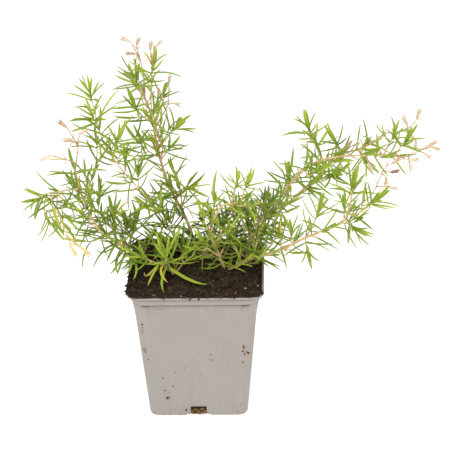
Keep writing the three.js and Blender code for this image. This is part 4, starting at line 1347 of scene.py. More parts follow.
def crumb_skins(places, sizes, tones):
    """Crumbs: small balls of three rings of points, whose radius varies at random from point to point."""
    polar, turn = CRUMB_POLAR[:, None], turns(CRUMB_SIDES)
    flat = np.sin(polar)
    ball = np.stack([flat * np.cos(turn), flat * np.sin(turn), np.cos(polar) + 0 * turn], -1)
    rough = rng.uniform(*CRUMB_ROUGHNESS, (len(places), len(polar), CRUMB_SIDES, 1))
    stretch = rng.uniform(*CRUMB_STRETCH, (len(places), 1, 1, 3)) * CRUMB_FLATNESS
    rings = places[:, None, None] + ball[None] * rough * stretch * sizes[:, None, None, None]
    pole = CRUMB_POLE * UP * sizes[:, None]
    return skin(rings, places - pole, places + pole, tone=tones[:, None, None])


def on_soil(count, inset):
    """Random places on the soil, at least `inset` from the rim."""
    reach = RIM_WIDTH / 2 - inset
    x, y = rng.uniform(-reach, reach, (2, count))
    return np.column_stack([x, y, peat_height(x, y)])


def soil_crumbs():
    """Crumbs all over the soil, paler chips of bark, and the largest flecks, listed one by one."""
    sizes = lerp(*CRUMB_SIZE, rng.uniform(0, 1, CRUMB_COUNT) ** CRUMB_RARITY)
    tones = rng.uniform(*CRUMB_TONE, CRUMB_COUNT)
    crumbs = crumb_skins(on_soil(CRUMB_COUNT, WALL + 1), sizes, tones)
    places = on_soil(CHIP_COUNT, WALL + 3)
    chips = crumb_skins(places, rng.uniform(*CHIP_SIZE, CHIP_COUNT), rng.uniform(*CHIP_TONE, CHIP_COUNT))
    x, y, sizes, tones = np.array(FLECKS).T
    flecks = crumb_skins(np.column_stack([x, y, peat_height(x, y) + FLECK_RISE]), sizes, tones)
    return [crumbs, chips, flecks]


def edge_crumbs():
    """Crumbs on the lip's outer edge, where the soil has spread over it."""
    centres, directions = soil_outline()
    picked = rng.integers(0, len(centres), EDGE_CRUMB_COUNT)
    corner = RIM_CORNER + rng.uniform(*EDGE_CRUMB_OUT, EDGE_CRUMB_COUNT)
    flat = (RIM_WIDTH / 2 - RIM_CORNER) * centres[picked] + corner[:, None] * directions[picked]
    flat = flat[spread_over_lip(*flat.T)[0] > rng.uniform(0.1, 1, EDGE_CRUMB_COUNT)]
    count = len(flat)
    flat = flat + rng.uniform(*EDGE_CRUMB_SWING, (count, 2))
    height = POT_HEIGHT + rng.uniform(*EDGE_CRUMB_RISE, count)
    sizes = rng.uniform(*EDGE_CRUMB_SIZE, count) * lerp(1, HEAP_GROWTH, spread_over_lip(*flat.T)[1])
    return crumb_skins(np.column_stack([flat, height]), sizes, rng.uniform(*EDGE_CRUMB_TONE, count))


def fibre_skin(place):
    """A fibre lying on the soil: a thin rod along a bent line whose heading wanders as it goes."""
    length, radius, tone = (rng.uniform(*bounds) for bounds in (FIBRE_LENGTH, FIBRE_RADIUS, FIBRE_TONE))
    count = len(FIBRE_TAPER)
    heading = rng.uniform(0, 2 * np.pi) + np.cumsum(rng.normal(0, FIBRE_WANDER, count))
    flat = place[:2] + np.cumsum(np.column_stack([np.cos(heading), np.sin(heading)]) * length / count, 0)
    flat = np.clip(flat, -RIM_WIDTH / 2 + 2, RIM_WIDTH / 2 - 2)
    height = peat_height(*flat.T) + radius + rng.uniform(*FIBRE_RISE, count)
    return rod_skin(np.column_stack([flat, height]), radius * FIBRE_TAPER, FIBRE_SIDES, tone=tone)


def fibre_skins():
    return [fibre_skin(place) for place in on_soil(FIBRE_COUNT, FIBRE_INSET)]


def litter_leaves():
    """Withered leaves that lie on the soil among the stems."""
    leaves = []
    for start in rng.uniform(-1, 1, (2, LITTER_COUNT)).T + LITTER_MIDDLE:
        start = start + rng.uniform(-1, 1, 2) * LITTER_SPREAD
        aim, length = rng.uniform(0, 2 * np.pi), rng.uniform(*LITTER_LENGTH)
        heading = np.array([np.cos(aim), np.sin(aim)])
        flat = start + heading * length * np.array([[0], [0.5], [1]]) + rng.uniform(-1, 1, (3, 2))
        flat = np.clip(flat, -LITTER_REACH, LITTER_REACH)
        height = peat_height(*flat.T) + rng.uniform(*LITTER_RISE, 3)
        leaves.append(SimpleNamespace(
            points=np.column_stack([flat, height]),
            across=np.array([-heading[1], heading[0], LITTER_TILT]),
            width=rng.uniform(*LITTER_WIDTH),
            tint=LITTER_TINT,
            age=rng.uniform(*LITTER_AGE),
            twist=rng.uniform(*LITTER_TWIST),
        ))
    return leaves


# Dirt on the pot. A speck of the front is (x, z, size, tone).

SPECK_COUNT = 90
SPECK_SIZE = (0.1, 0.28)
SPECK_TONE = (0.3, 0.75)
BAND_SPECKS = 0.35               # share of the specks that lie just under the band, and how far under it
BAND_SPECK_DEPTH = (0.7, 4)
FOOT_SPECKS = 0.15               # and of those at the foot, and how high
FOOT_SPECK_HEIGHT = (0.6, 7)
FRONT_DIRT_SCALE = np.array([[1], [1], [1.5], [1.1]])
FRONT_DIRT = (
    (-20.7, 14.4, 1.1, 0.4), (-19.6, 15, 0.6, 0.6), (-22.1, 20.5, 0.55, 0.5), (-23.1, 30.6, 0.5, 0.4),
    (-16.6, 24.1, 0.4, 0.3), (-19.5, 19, 0.4, 0.55), (-14.9, 35, 0.45, 0.7), (-8.2, 38.5, 0.3, 0.3),
    (-28.2, 35.5, 0.3, 0.6), (31, 56.4, 0.8, 0.5), (31.2, 54.7, 0.7, 0.45), (30.6, 51.7, 0.7, 0.5),
    (31.5, 49.3, 0.8, 0.52), (34.2, 50.1, 0.7, 0.52), (30.4, 43, 0.7, 0.6), (-35.3, 72.8, 0.4, 0.5),
    (-35.4, 70.8, 0.35, 0.65), (-35.5, 68.6, 0.4, 0.7), (-35.5, 66.4, 0.35, 0.65), (-34.8, 53.4, 0.5, 0.65),
    (-34.2, 51.5, 0.45, 0.5), (-32.1, 45.5, 0.4, 0.3), (-1.3, 45.4, 0.3, 0.65), (8.2, 45.2, 0.35, 0.65),
    (10.2, 44.8, 0.4, 0.6), (9.4, 49, 0.3, 0.5), (-23.5, 0.9, 0.5, 0.7), (-19, 0.8, 0.4, 0.65),
    (-12.7, 0.7, 0.5, 0.72), (26.1, 3.4, 0.6, 0.68), (28.6, 8.7, 0.4, 0.5), (-27, 6, 0.4, 0.6),
    (-8.2, 4.9, 0.35, 0.1), (-8.3, 4, 0.35, 0.15), (-3.3, 94.2, 0.7, 0.4), (2.5, 94.4, 0.6, 0.3),
    (-20, 94.4, 0.5, 0.3), (17, 94.5, 0.4, 0.5), (-23, 84.4, 0.35, 0.3), (-6, 87.9, 0.5, 0.3),
    (-1, 88, 0.5, 0.25), (14, 87.8, 0.4, 0.3), (22, 87.9, 0.5, 0.3), (-17, 87.9, 0.4, 0.35),
)
SLOT_CRUMB_COUNT = 110
SLOT_CRUMB_SIZE = (0.5, 1.1)
SLOT_CRUMB_TONE = (0.42, 0.8)
SLOT_CRUMB_DEPTH = (-0.2, 2)
SLOT_CRUMB_HEIGHT = (0.6, SLOT_HIGH - 1.7)
SLOT_CRUMB_REST = 1.1            # lowest height of one, for a size of 1
SLOT_CRUMB_SAG = 1.4             # the higher, the more of them lie low


def wall_dirt():
    """Specks of soil on the pot's sides: those of the front listed one by one, and small ones scattered on
    all four."""
    skins = []
    for quarter, turn in enumerate(QUARTERS):
        x = rng.uniform(-1, 1, SPECK_COUNT)
        z = rng.uniform(2, BAND_LOW - 2, SPECK_COUNT)
        place = rng.uniform(0, 1, SPECK_COUNT)
        z = np.where(place < BAND_SPECKS, BAND_LOW - rng.uniform(*BAND_SPECK_DEPTH, SPECK_COUNT), z)
        z = np.where(place > 1 - FOOT_SPECKS, rng.uniform(*FOOT_SPECK_HEIGHT, SPECK_COUNT), z)
        x = x * (body_half(z) - 3)
        size, tone = rng.uniform(*SPECK_SIZE, SPECK_COUNT), rng.uniform(*SPECK_TONE, SPECK_COUNT)
        if quarter == 0:
            placed = np.array(FRONT_DIRT).T * FRONT_DIRT_SCALE
            x, z, size, tone = np.column_stack([(x, z, size, tone), placed])
        y = -np.where(z > BAND_LOW, RIM_WIDTH / 2, body_half(z))
        skins.append(crumb_skins(on_side(turn, x, y, z), size, tone))
    return skins


def slot_crumbs():
    """Orange-brown peat that shows in the drain slots."""
    skins = []
    for turn in QUARTERS:
        x = rng.uniform(-0.5, 0.5, SLOT_CRUMB_COUNT) * SLOT_WIDTH
        z = lerp(*SLOT_CRUMB_HEIGHT, rng.uniform(0, 1, SLOT_CRUMB_COUNT) ** SLOT_CRUMB_SAG)
        y = -body_half(z) + WALL + rng.uniform(*SLOT_CRUMB_DEPTH, SLOT_CRUMB_COUNT)
        size = rng.uniform(*SLOT_CRUMB_SIZE, SLOT_CRUMB_COUNT)
        tone = rng.uniform(*SLOT_CRUMB_TONE, SLOT_CRUMB_COUNT)
        z = np.maximum(z, SLOT_CRUMB_REST * size)
        skins.append(crumb_skins(on_side(turn, x, y, z), size, tone))
    return skins


# Dried heads

STALK_RADIUS = 0.46
STALK_TAPER = (1, 0.75)
STALK_WAVE = 0.15                # share of its radius by which a stalk swells and narrows along its length
STALK_WAVES = 9                  # angle that this sine wave covers from its foot to its end
STALK_SIDES = 6
STALK_STEP = 2
STALK_TONE = (0.25, 0.6)
TEETH = 5
TOOTH_POINTS = 4
TOOTH_HEIGHT = (0.5, 1.08)       # between the teeth and at their tips, in lengths of the calyx
TOOTH_SPREAD = (0, 2.4)          # how far the teeth of one calyx lean out
CALYX_LEVELS = np.array([0, 0.12, 0.3, 0.5, 0.68, 0.84, 1, 1, 0.8, 0.6, 0.45])
CALYX_INSIDE = 7                 # the first of its inner levels
CALYX_WALL = 0.14
CALYX_RADIUS = (0.4, 1)
CALYX_WAIST = 0.55               # of its length, where its teeth start to lean out
CALYX_LEAN_POWER = 1.4
CALYX_LEAN_BETWEEN = 0.2         # how much the rim leans between its teeth
CALYX_RIB = 0.1
CALYX_FLOOR = 0.35
CALYX_TONE = (0.45, 0.95)
DARK_TONE = 0.1

BRACT_GAP = 6.5
BRACT_START = 0.45               # of a stalk's length
BRACT_SHARE = 0.6
BRACT_LEAN = (0.4, 1.1)
BRACT_CURL = (-0.5, 0.7)
BRACT_LENGTH = (3.5, 6.5)
BRACT_WIDTH = (0.7, 1.1)
BRACT_AGE = (0.6, 1)
BRACT_TINT = 0.5
BRACT_TWIST = 0.4


def calyx_skin(foot, mouth, **measures):
    """A papery cup with five pointed teeth. Around it, the teeth rise and fall as a straight-sided wave.
    Along it, the radius swells from the stalk, and each tooth leans out with a power of its height."""
    length = np.linalg.norm(mouth - foot)
    heading = (mouth - foot) / length
    side, over = (v[0] for v in frames_of(heading[None]))
    place = np.arange(TEETH * TOOTH_POINTS)
    turn = turns(len(place))
    tooth = 1 - abs(2 * ((place / TOOTH_POINTS) % 1) - 1)
    level = CALYX_LEVELS[:, None]
    rise = length * level * lerp(*TOOTH_HEIGHT, tooth)
    lean = rng.uniform(*TOOTH_SPREAD)
    leaning = lean * np.maximum(level - CALYX_WAIST, 0) ** CALYX_LEAN_POWER * (CALYX_LEAN_BETWEEN + tooth)
    swell = lerp(*CALYX_RADIUS, ease(0, 0.5, level)) + leaning
    inner = (np.arange(len(CALYX_LEVELS)) >= CALYX_INSIDE)[:, None]
    radius = swell * (1 + CALYX_RIB * np.cos(TEETH * turn)) - CALYX_WALL * inner
    reach = np.cos(turn)[:, None] * side + np.sin(turn)[:, None] * over
    rings = foot + rise[..., None] * heading + radius[..., None] * reach
    bottom = foot + CALYX_FLOOR * length * heading
    return skin(rings[None], foot[None], bottom[None], **measures)


def stalks_of(routes, paths):
    """Stalks along routes: the first leaves one of the paths, the others leave the stalks before them."""
    stalks = []
    for points in routes:
        points = rooted(points, [stalk.path for stalk in stalks] or paths)
        path, fine = (smooth(points[:-1], step) for step in (STEP, STALK_STEP))
        stalks.append(SimpleNamespace(path=path, fine=fine, mouth=points[-1]))
    return stalks


def head_skins(stalks, gold, dark):
    """Stalks with a calyx at the end of each. One of the calyces may be dark."""
    parts = []
    for number, stalk in enumerate(stalks):
        share = np.linspace(0, 1, len(stalk.fine))
        radii = STALK_RADIUS * lerp(*STALK_TAPER, share) * (1 + STALK_WAVE * np.sin(STALK_WAVES * share))
        parts.append(rod_skin(stalk.fine, radii, STALK_SIDES, tone=lerp(*STALK_TONE, share), gold=gold))
        tone = rng.uniform(*CALYX_TONE)
        tone = DARK_TONE if number == dark else tone
        parts.append(calyx_skin(stalk.fine[-1], stalk.mouth, tone=tone, gold=gold))
    return joined(parts)


def bract_leaves(stalks):
    """Narrow withered leaves in pairs along the stalks."""
    leaves = []
    for stalk in stalks:
        total = length_of(stalk.fine)
        for distance in np.arange(total * BRACT_START, total, BRACT_GAP):
            azimuth = rng.uniform(0, np.pi)
            for half in (0, np.pi):
                if rng.uniform() < BRACT_SHARE:
                    ranges = (BRACT_LEAN, BRACT_CURL, BRACT_LENGTH, BRACT_WIDTH)
                    leaves.append(leaf_at(
                        stalk.fine, distance, azimuth + half, *(rng.uniform(*bounds) for bounds in ranges),
                    ))
    for leaf in leaves:
        leaf.tint, leaf.age, leaf.twist = BRACT_TINT, rng.uniform(*BRACT_AGE), rng.uniform(-1, 1)
    return leaves


# Materials. A ramp's stops are (position, colour) or (position, grey). Places on an object are in metres.

GREENS = (
    (0, (0.1, 0.17, 0.02)),
    (0.35, (0.25, 0.37, 0.03)),
    (0.7, (0.42, 0.53, 0.045)),
    (1, (0.56, 0.63, 0.07)),
)
RIB_GREEN = (0.3, 0.42, 0.1)
FOOT_GREEN = (0.34, 0.4, 0.13)
TIP_BROWN = (0.42, 0.36, 0.12)
WITHERED = (
    (0, (0.85, 0.74, 0.04)),
    (0.45, (0.85, 0.62, 0.09)),
    (0.7, (0.88, 0.7, 0.42)),
    (1, (0.66, 0.43, 0.24)),
)
TAN_BARK = ((0.3, (0.66, 0.4, 0.16)), (0.5, (0.9, 0.64, 0.31)), (0.7, (0.97, 0.82, 0.5)))
RED_BARK = ((0.3, (0.5, 0.21, 0.08)), (0.6, (0.74, 0.43, 0.2)), (0.8, (0.88, 0.65, 0.36)))
YOUNG_BARK = ((0.3, (0.42, 0.46, 0.08)), (0.7, (0.7, 0.64, 0.22)))
PEAT_BROWNS = ((0.35, (0.009, 0.005, 0.003)), (0.5, (0.022, 0.013, 0.007)), (0.65, (0.065, 0.038, 0.019)))
PEAT_SPECK = (0.12, 0.07, 0.032)
CRUMB_BROWNS = (
    (0, (0.013, 0.008, 0.005)),
    (0.35, (0.047, 0.026, 0.012)),
    (0.6, (0.21, 0.1, 0.034)),
    (0.8, (0.42, 0.24, 0.09)),
    (1, (0.75, 0.68, 0.5)),
)
DRIED_TANS = (
    (0, (0.32, 0.17, 0.1)),
    (0.4, (0.64, 0.4, 0.24)),
    (0.75, (0.89, 0.69, 0.49)),
    (1, (0.94, 0.83, 0.65)),
)
DRIED_GOLD = (0.95, 0.72, 0.22)
TAUPES = ((0.3, (0.362, 0.327, 0.293)), (0.7, (0.398, 0.361, 0.329)))
PALE_STREAK = (0.46, 0.42, 0.385)
GRIME = (0.3, 0.22, 0.15)
# brown of the painted shadow and grime under the band, and of the painted shade in the groove
SHADOW_AND_GRIME_BROWN = (0.16, 0.12, 0.09)
LINE_WANDER = 1.2                # how far the painted shade lines on the pot wander up and down
LEDGE_REACH = 35.5               # how far the painted shadow lines under the band run from the middle of a side
LEDGE_SHADOW_LINES = ((BAND_LOW - 0.7, 0.5, 0.75), (BAND_LOW - 1.4, 1.6, 0.2))    # painted shadow mixed with grime under the band: height, depth and darkness
# painted shade in the groove above the band: height, depth and darkness
GROOVE_SHADE_LINE = (BAND_TOP, 0.35, 0.5)


def feed(tree, socket, value):
    """Links a socket to the one that feeds it, or sets it to a value."""
    if isinstance(value, bpy.types.NodeSocket):
        tree.links.new(value, socket)
    else:
        socket.default_value = (*value, 1) if socket.type == "RGBA" else value


def add(tree, kind, **inputs):
    """Adds a shader node and feeds its inputs."""
    made = tree.nodes.new("ShaderNode" + kind)
    for key, value in inputs.items():
        feed(tree, made.inputs[key.replace("_", " ")], value)
    return made


def mixed(tree, share, first, second):
    """Two colours blended by `share`. Each is a socket or a colour."""
    made = tree.nodes.new("ShaderNodeMix")
    made.data_type = "RGBA"
    for number, value in ((0, share), (6, first), (7, second)):
        feed(tree, made.inputs[number], value)
    return made.outputs[2]


def ramp(tree, value, *stops):
    """A colour for a number, blended between stops."""
    made = add(tree, "ValToRGB", Fac=value)
    elements = made.color_ramp.elements
    while len(elements) < len(stops):
        elements.new(0.5)
    for element, (position, colour) in zip(elements, stops):
        element.position = position
        element.color = (*(np.ones(3) * colour), 1)
    return made.outputs["Color"]


def measure(tree, name):
    """The number that a skin carries for each of its points."""
    made = add(tree, "Attribute")
    made.attribute_name = name
    return made.outputs["Fac"]


def noise(tree, place, scale, detail=3, roughness=0.55):
    return add(tree, "TexNoise", Vector=place, Scale=scale, Detail=detail, Roughness=roughness).outputs["Fac"]


def maths(tree, operation, first, second=0):
    made = tree.nodes.new("ShaderNodeMath")
    made.operation = operation
    for socket, value in zip(made.inputs, (first, second)):
        feed(tree, socket, value)
    return made.outputs[0]


def varied(tree, value, by, amount):
    """A value, raised and lowered by a noise around 0.5."""
    return maths(tree, "ADD", value, maths(tree, "MULTIPLY", maths(tree, "SUBTRACT", by, 0.5), amount))


def off(tree, value, middle):
    """How far a value lies from a middle one."""
    return maths(tree, "ABSOLUTE", maths(tree, "SUBTRACT", value, middle))


def started(name):
    """A new material, its node tree, and the place on the object."""
    material = bpy.data.materials.new(name)
    material.use_nodes = True
    tree = material.node_tree
    return material, tree, add(tree, "TexCoord").outputs["Object"]


def surfaced(material, bump=None, **sockets):
    """The material with its surface shader's sockets fed, and bumped by (height, strength, distance)."""
    tree = material.node_tree
    if bump:
        height, strength, distance = bump
        bumped = add(tree, "Bump", Height=height, Strength=strength, Distance=distance)
        sockets["Normal"] = bumped.outputs["Normal"]
    for key, value in sockets.items():
        feed(tree, tree.nodes["Principled BSDF"].inputs[key.replace("_", " ")], value)
    return material


def leaf_material():
    """Green by the leaf's tint, paler along the midrib and at the foot, browner at the tip, and yellow and
    then tan with age."""
    material, tree, place = started("leaf_green")
    across, down, tint, age = (measure(tree, key) for key in ("across", "along", "tint", "age"))
    green = ramp(tree, varied(tree, tint, noise(tree, place, 900), 0.35), *GREENS)
    green = mixed(tree, ramp(tree, off(tree, across, 0.5), (0, 0.35), (0.09, 0)), green, RIB_GREEN)
    green = mixed(tree, ramp(tree, down, (0, 0.55), (0.14, 0)), green, FOOT_GREEN)
    green = mixed(tree, ramp(tree, down, (0.88, 0), (1, 0.45)), green, TIP_BROWN)
    colour = mixed(tree, ramp(tree, age, (0.02, 0), (0.35, 1)), green, ramp(tree, age, *WITHERED))
    return surfaced(
        material,
        bump=(noise(tree, place, 1600), 0.25, 0.0002),
        Base_Color=colour,
        Roughness=0.46,
        Specular_IOR_Level=0.35,
        Subsurface_Weight=0.3,
        Subsurface_Radius=(0.5, 0.8, 0.15),
        Subsurface_Scale=0.0012,
    )


def bark_material():
    """Tan and reddish brown in cloudy patches where the stem is old, green where it is young."""
    material, tree, place = started("stem_bark")
    patches = noise(tree, place, 260, 4)
    woody = mixed(tree, measure(tree, "tint"), ramp(tree, patches, *TAN_BARK), ramp(tree, patches, *RED_BARK))
    share = ramp(tree, varied(tree, measure(tree, "age"), patches, 0.7), (0.15, 0), (0.45, 1))
    colour = mixed(tree, share, ramp(tree, patches, *YOUNG_BARK), woody)
    grain = noise(tree, place, 1100, 5)
    return surfaced(material, bump=(grain, 0.6, 0.0004), Base_Color=colour, Roughness=0.68)


def peat_material():
    """Dark brown peat: blackish hollows and brown crumbs, with paler specks from a finer noise."""
    material, tree, place = started("peat_crumbs")
    coarse, fine = noise(tree, place, 160, 5), noise(tree, place, 900, 5, 0.7)
    speck = ramp(tree, fine, (0.52, 0), (0.68, 0.75))
    colour = mixed(tree, speck, ramp(tree, coarse, *PEAT_BROWNS), PEAT_SPECK)
    bump = (fine, 0.9, 0.0012)
    return surfaced(material, bump=bump, Base_Color=colour, Roughness=0.92, Specular_IOR_Level=0.25)


def crumb_material():
    """Loose crumbs, fibres and bark chips: from black-brown peat through orange-brown bark to pale grit."""
    material, tree, place = started("loose_crumbs")
    fine = noise(tree, place, 1200, 4, 0.7)
    colour = ramp(tree, varied(tree, measure(tree, "tone"), fine, 0.2), *CRUMB_BROWNS)
    return surfaced(material, bump=(fine, 0.7, 0.0005), Base_Color=colour, Roughness=0.85)


def dried_material():
    """Papery tan tissue, finely mottled from brown to cream, and yellow where it is golden."""
    material, tree, place = started("dried_tissue")
    fine = noise(tree, place, 700, 4, 0.6)
    colour = ramp(tree, varied(tree, measure(tree, "tone"), fine, 0.6), *DRIED_TANS)
    return surfaced(
        material,
        bump=(fine, 0.4, 0.0003),
        Base_Color=mixed(tree, measure(tree, "gold"), colour, DRIED_GOLD),
        Roughness=0.75,
        Subsurface_Weight=0.1,
        Subsurface_Scale=0.001,
    )


def dark_line(tree, height, line, depth, darkness):
    """How dark a painted shade line on the pot is near its level: by its darkness at the line, fading out at
    about its depth.
    """
    share = maths(tree, "DIVIDE", off(tree, height, line * MM), 2 * depth * MM)
    return ramp(tree, share, (0.2, darkness), (0.6, 0))


def plastic_material():
    """Taupe plastic: cloudy mottling, faint upright streaks, a smear of soil here and there, a painted
    shadow mixed with grime under the band, and painted shade in the groove above it."""
    material, tree, place = started("pot_plastic")
    clouds = noise(tree, place, 38, 5, 0.6)
    streaks = noise(tree, add(tree, "Mapping", Vector=place, Scale=(1, 1, 0.12)).outputs["Vector"], 420)
    grime = noise(tree, place, 75, 6, 0.75)
    colour = ramp(tree, clouds, *TAUPES)
    colour = mixed(tree, ramp(tree, streaks, (0.45, 0), (0.8, 0.25)), colour, PALE_STREAK)
    colour = mixed(tree, ramp(tree, grime, (0.66, 0), (0.74, 0.35)), colour, GRIME)
    away = add(tree, "SeparateXYZ", Vector=place)
    x, y = (maths(tree, "ABSOLUTE", away.outputs[key]) for key in "XY")
    on_flat = maths(tree, "LESS_THAN", maths(tree, "MINIMUM", x, y), LEDGE_REACH * MM)
    height = varied(tree, away.outputs["Z"], noise(tree, place, 500), LINE_WANDER * MM)
    # painted shadow mixed with grime under the band, on the flat sides only
    for line in LEDGE_SHADOW_LINES:
        share = maths(tree, "MULTIPLY", dark_line(tree, height, *line), on_flat)
        colour = mixed(tree, share, colour, SHADOW_AND_GRIME_BROWN)
    return surfaced(
        material,
        bump=(noise(tree, place, 1500, 2), 0.12, 0.0002),
        # painted shade in the groove above the band
        Base_Color=mixed(tree, dark_line(tree, height, *GROOVE_SHADE_LINE), colour, SHADOW_AND_GRIME_BROWN),
        Roughness=ramp(tree, clouds, (0.3, 0.5), (0.7, 0.62)),
        Specular_IOR_Level=0.4,
    )


def floor_material():
    """A pale grey floor that glows, so that it shows as white as the photograph's ground."""
    return surfaced(
        started("pale_floor")[0],
        Base_Color=(0.62, 0.62, 0.62),
        Emission_Color=(1, 1, 1),
        Emission_Strength=0.68,
        Roughness=0.9,
        Specular_IOR_Level=0.1,
    )


# Camera, floor and light. Places, sizes and reaches are in metres, and powers in watts.

FLOOR_REACH = 3
SURROUND_STRENGTH = 0.5
LIGHT_AIM = (0.02, 0, 0.1)       # the middle of the plant
LIGHTS = (                       # (name, place, size, power)
    ("key", (-0.7, -0.9, 1.3), 0.9, 9.5),
    ("fill", (1, -0.9, 0.8), 1, 5),
    ("top", (0, 0.4, 1.6), 1, 6.5),
)


def set_up(name, data, right, up, back, place):
    """An object in the scene that has these directions and this place."""
    made = bpy.data.objects.new(name, data)
    bpy.context.scene.collection.objects.link(made)
    made.matrix_world = Matrix([*np.column_stack([right, up, back, place]).tolist(), (0, 0, 0, 1)])
    return made


def add_camera():
    """The photograph's camera: turned by yaw, tipped down by pitch, and rolled about its own line of
    sight."""
    pitch, yaw, roll = np.radians([VIEW_PITCH, VIEW_YAW, VIEW_ROLL])
    ahead = np.array([np.sin(yaw) * np.cos(pitch), np.cos(yaw) * np.cos(pitch), -np.sin(pitch)])
    level = np.array([np.cos(yaw), -np.sin(yaw), 0])
    above = np.cross(level, ahead)
    right = np.cos(roll) * level + np.sin(roll) * above
    up = np.cos(roll) * above - np.sin(roll) * level
    camera = bpy.data.cameras.new("camera")
    camera.sensor_width = SENSOR
    camera.lens = SENSOR * FOCAL_PIXELS / PICTURE
    bpy.context.scene.camera = set_up("camera", camera, right, up, -ahead, np.array(VIEW_FROM) * MM)


def add_light(name, place, size, power):
    """A square soft box that faces the plant."""
    light = bpy.data.lights.new(name, "AREA")
    light.size, light.energy = size, power
    back = unit(np.array(place) - LIGHT_AIM)
    right = unit(np.cross(UP, back))
    set_up(name, light, right, np.cross(back, right), back, place)


def add_studio():
    """A pale floor, an even pale surround and the soft boxes."""
    floor = bpy.data.meshes.new("floor")
    corners = [(x * FLOOR_REACH, y * FLOOR_REACH, 0) for x, y in ((-1, -1), (1, -1), (1, 1), (-1, 1))]
    floor.from_pydata(corners, [], [(0, 1, 2, 3)])
    shown("floor", floor, floor_material())
    surround = bpy.data.worlds.new("surround")
    surround.use_nodes = True
    background = surround.node_tree.nodes["Background"]
    background.inputs["Color"].default_value = (1, 1, 1, 1)
    background.inputs["Strength"].default_value = SURROUND_STRENGTH
    bpy.context.scene.world = surround
    bpy.context.scene.view_settings.view_transform = "Standard"
    for light in LIGHTS:
        add_light(*light)


# Assembly

def plant(name, stem):
    """Gives a stem its twigs and its broad leaves."""
    stem.twigs = twigs_of(stem)
    paths = [twig.path for twig in stem.twigs]
    width = BROAD_TRIM * BROAD_WIDTH * stem.leaf[1] * stem.slim**0.5
    stem.leaves = [broad_leaf(points, paths, width, share=1, age=0) for points in stem.broad]
    for points in (*map(dots_of, paths), *map(samples_of, stem.leaves)):
        take(name, points)


def raise_stalks(name, head):
    """Gives a head the stalks that the solids have."""
    head.all_stalks = stalks_of(head.stalks, [twig.path for twig in STEMS[head.on].twigs])
    for stalk in head.all_stalks:
        take(name, dots_of(np.vstack([stalk.path, stalk.mouth])))


def grow_pairs(name, stem, number):
    """Gives a stem the leaves of the solids, made longer, and those of the tufts turned outwards."""
    for place, twig in enumerate(stem.twigs):
        leaves = paired_leaves(twig, name, SEEDS_PER_STEM * number + place, stem.leaf)
        for leaf in leaves:
            in_tuft = ease(*TUFT_SHARE, leaf.share)
            stretch = stem.slim**0.5 * lerp(STRETCH, TUFT_STRETCH, in_tuft)
            leaf.points = leaf.points[0] + stretch * (leaf.points - leaf.points[0])
            opened(leaf, in_tuft)
            take(name, samples_of(leaf))
        stem.leaves += leaves


def grow_finer(name, stem):
    """Gives a stem what the solids leave out: placed leaves, listed shoots, side shoots of all its
    twigs, and further leaves on each of them."""
    paths, fines = ([getattr(twig, key) for twig in stem.twigs] for key in ("path", "fine"))
    for points, width, age in stem.placed:
        leaf = broad_leaf(points, paths, width, share=PLACED_SHARE, age=age)
        take(name, samples_of(leaf))
        stem.leaves.append(leaf)
    stem.twigs += [added_shoot(rooted(points, fines), FILL_STEP, SHOOT_RADIUS) for points in stem.fill]
    stem.twigs += [shoot for twig in stem.twigs for shoot in side_shoots(twig)]
    for twig in stem.twigs:
        leaves = added_leaves(twig, stem.leaf)
        for leaf in leaves:
            take(name, samples_of(leaf))
        stem.leaves += leaves


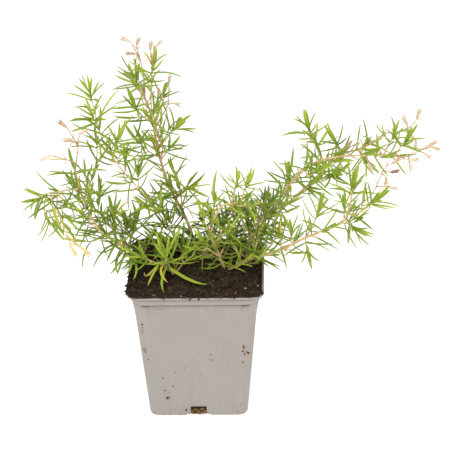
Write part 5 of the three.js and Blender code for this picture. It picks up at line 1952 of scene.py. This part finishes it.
def settle(stem):
    """Gives each leaf its tint, age and twist: brighter near the twig's end, darker green low among the
    stems as painted shade, and a few of them yellow."""
    for leaf in stem.leaves:
        x, y, z = leaf.points[1]
        inner = ease(*INNER_FRONT, y) * ease(*INNER_TOP, z) * (abs(x) < RIM_WIDTH / 2 + INNER_ASIDE)
        # painted shade: leaves low among the stems, inside the plant, are darkened
        bright = stem.tint + TINT_RISE * (leaf.share - TINT_MIDDLE) - INNER_SHADE * inner
        leaf.tint = np.clip(bright + rng.normal(0, TINT_SPREAD), 0, 1)
        yellowed = rng.uniform(*YELLOW_AGE) if rng.uniform() < YELLOW_SHARE else 0
        leaf.twist = rng.uniform(*TWIST_RANGE)
        length = np.linalg.norm(leaf.points[2] - leaf.points[0])
        leaf.points[1] = leaf.points[1] + leaf.across * length * rng.uniform(*SIDE_BEND)
        if not leaf.by_hand:
            leaf.age = yellowed
            leaf.width *= BREADTH * stem.slim * lerp(1, TIP_BREADTH, ease(*TIP_SHARE, leaf.share))


add_camera()
add_studio()
green, bark, dried = leaf_material(), bark_material(), dried_material()
loose, plastic = crumb_material(), plastic_material()

for name, stem in STEMS.items():
    plant(name, stem)
for name, head in HEADS.items():
    raise_stalks(name, head)
for number, (name, stem) in enumerate(STEMS.items()):
    grow_pairs(name, stem, number)
for name, stem in STEMS.items():
    grow_finer(name, stem)
showy = STEMS["stem_front_left"].leaves[0]
showy.width, showy.share, showy.age = SHOWY_WIDTH, 0, SHOWY_AGE

for name, stem in STEMS.items():
    settle(stem)
    rods = joined([bark_skin(twig, stem.red, stem.girth) for twig in stem.twigs])
    stand_in(name + "_bark", mesh_of(rods), bark, name)
    stand_in(name + "_leaves", mesh_of(leaf_skins(stem.leaves)), green, name)

for name, head in HEADS.items():
    for points in head.more:
        head.all_stalks += stalks_of([points], [twig.path for twig in STEMS[head.on].twigs if twig.has_pairs])
    cups = head_skins(head.all_stalks, head.gold, head.dark)
    stand_in(name + "_calyces", mesh_of(cups), dried, name)
    paths = [stalk.path for stalk in head.all_stalks]
    bracts = bract_leaves(head.all_stalks)
    for points, width, age in head.bracts:
        bracts.append(broad_leaf(points, paths, width, tint=BRACT_TINT, age=age, twist=BRACT_TWIST))
    stand_in(name + "_bracts", mesh_of(leaf_skins(bracts)), green, name)

stand_in("pot_walls", cut_away(pot_skin(), slot_skins(), plastic), plastic, "pot")
stand_in("peat", mesh_of(soil_skin()), peat_material(), "soil")
crumbs, fibres = soil_crumbs(), fibre_skins()
stand_in("peat_crumbs", mesh_of(joined([*crumbs, edge_crumbs(), *fibres])), loose, "soil")
stand_in("peat_litter", mesh_of(leaf_skins(litter_leaves())), green, "soil")
stand_in("pot_dirt", mesh_of(joined([*wall_dirt(), *slot_crumbs()])), loose, "pot")
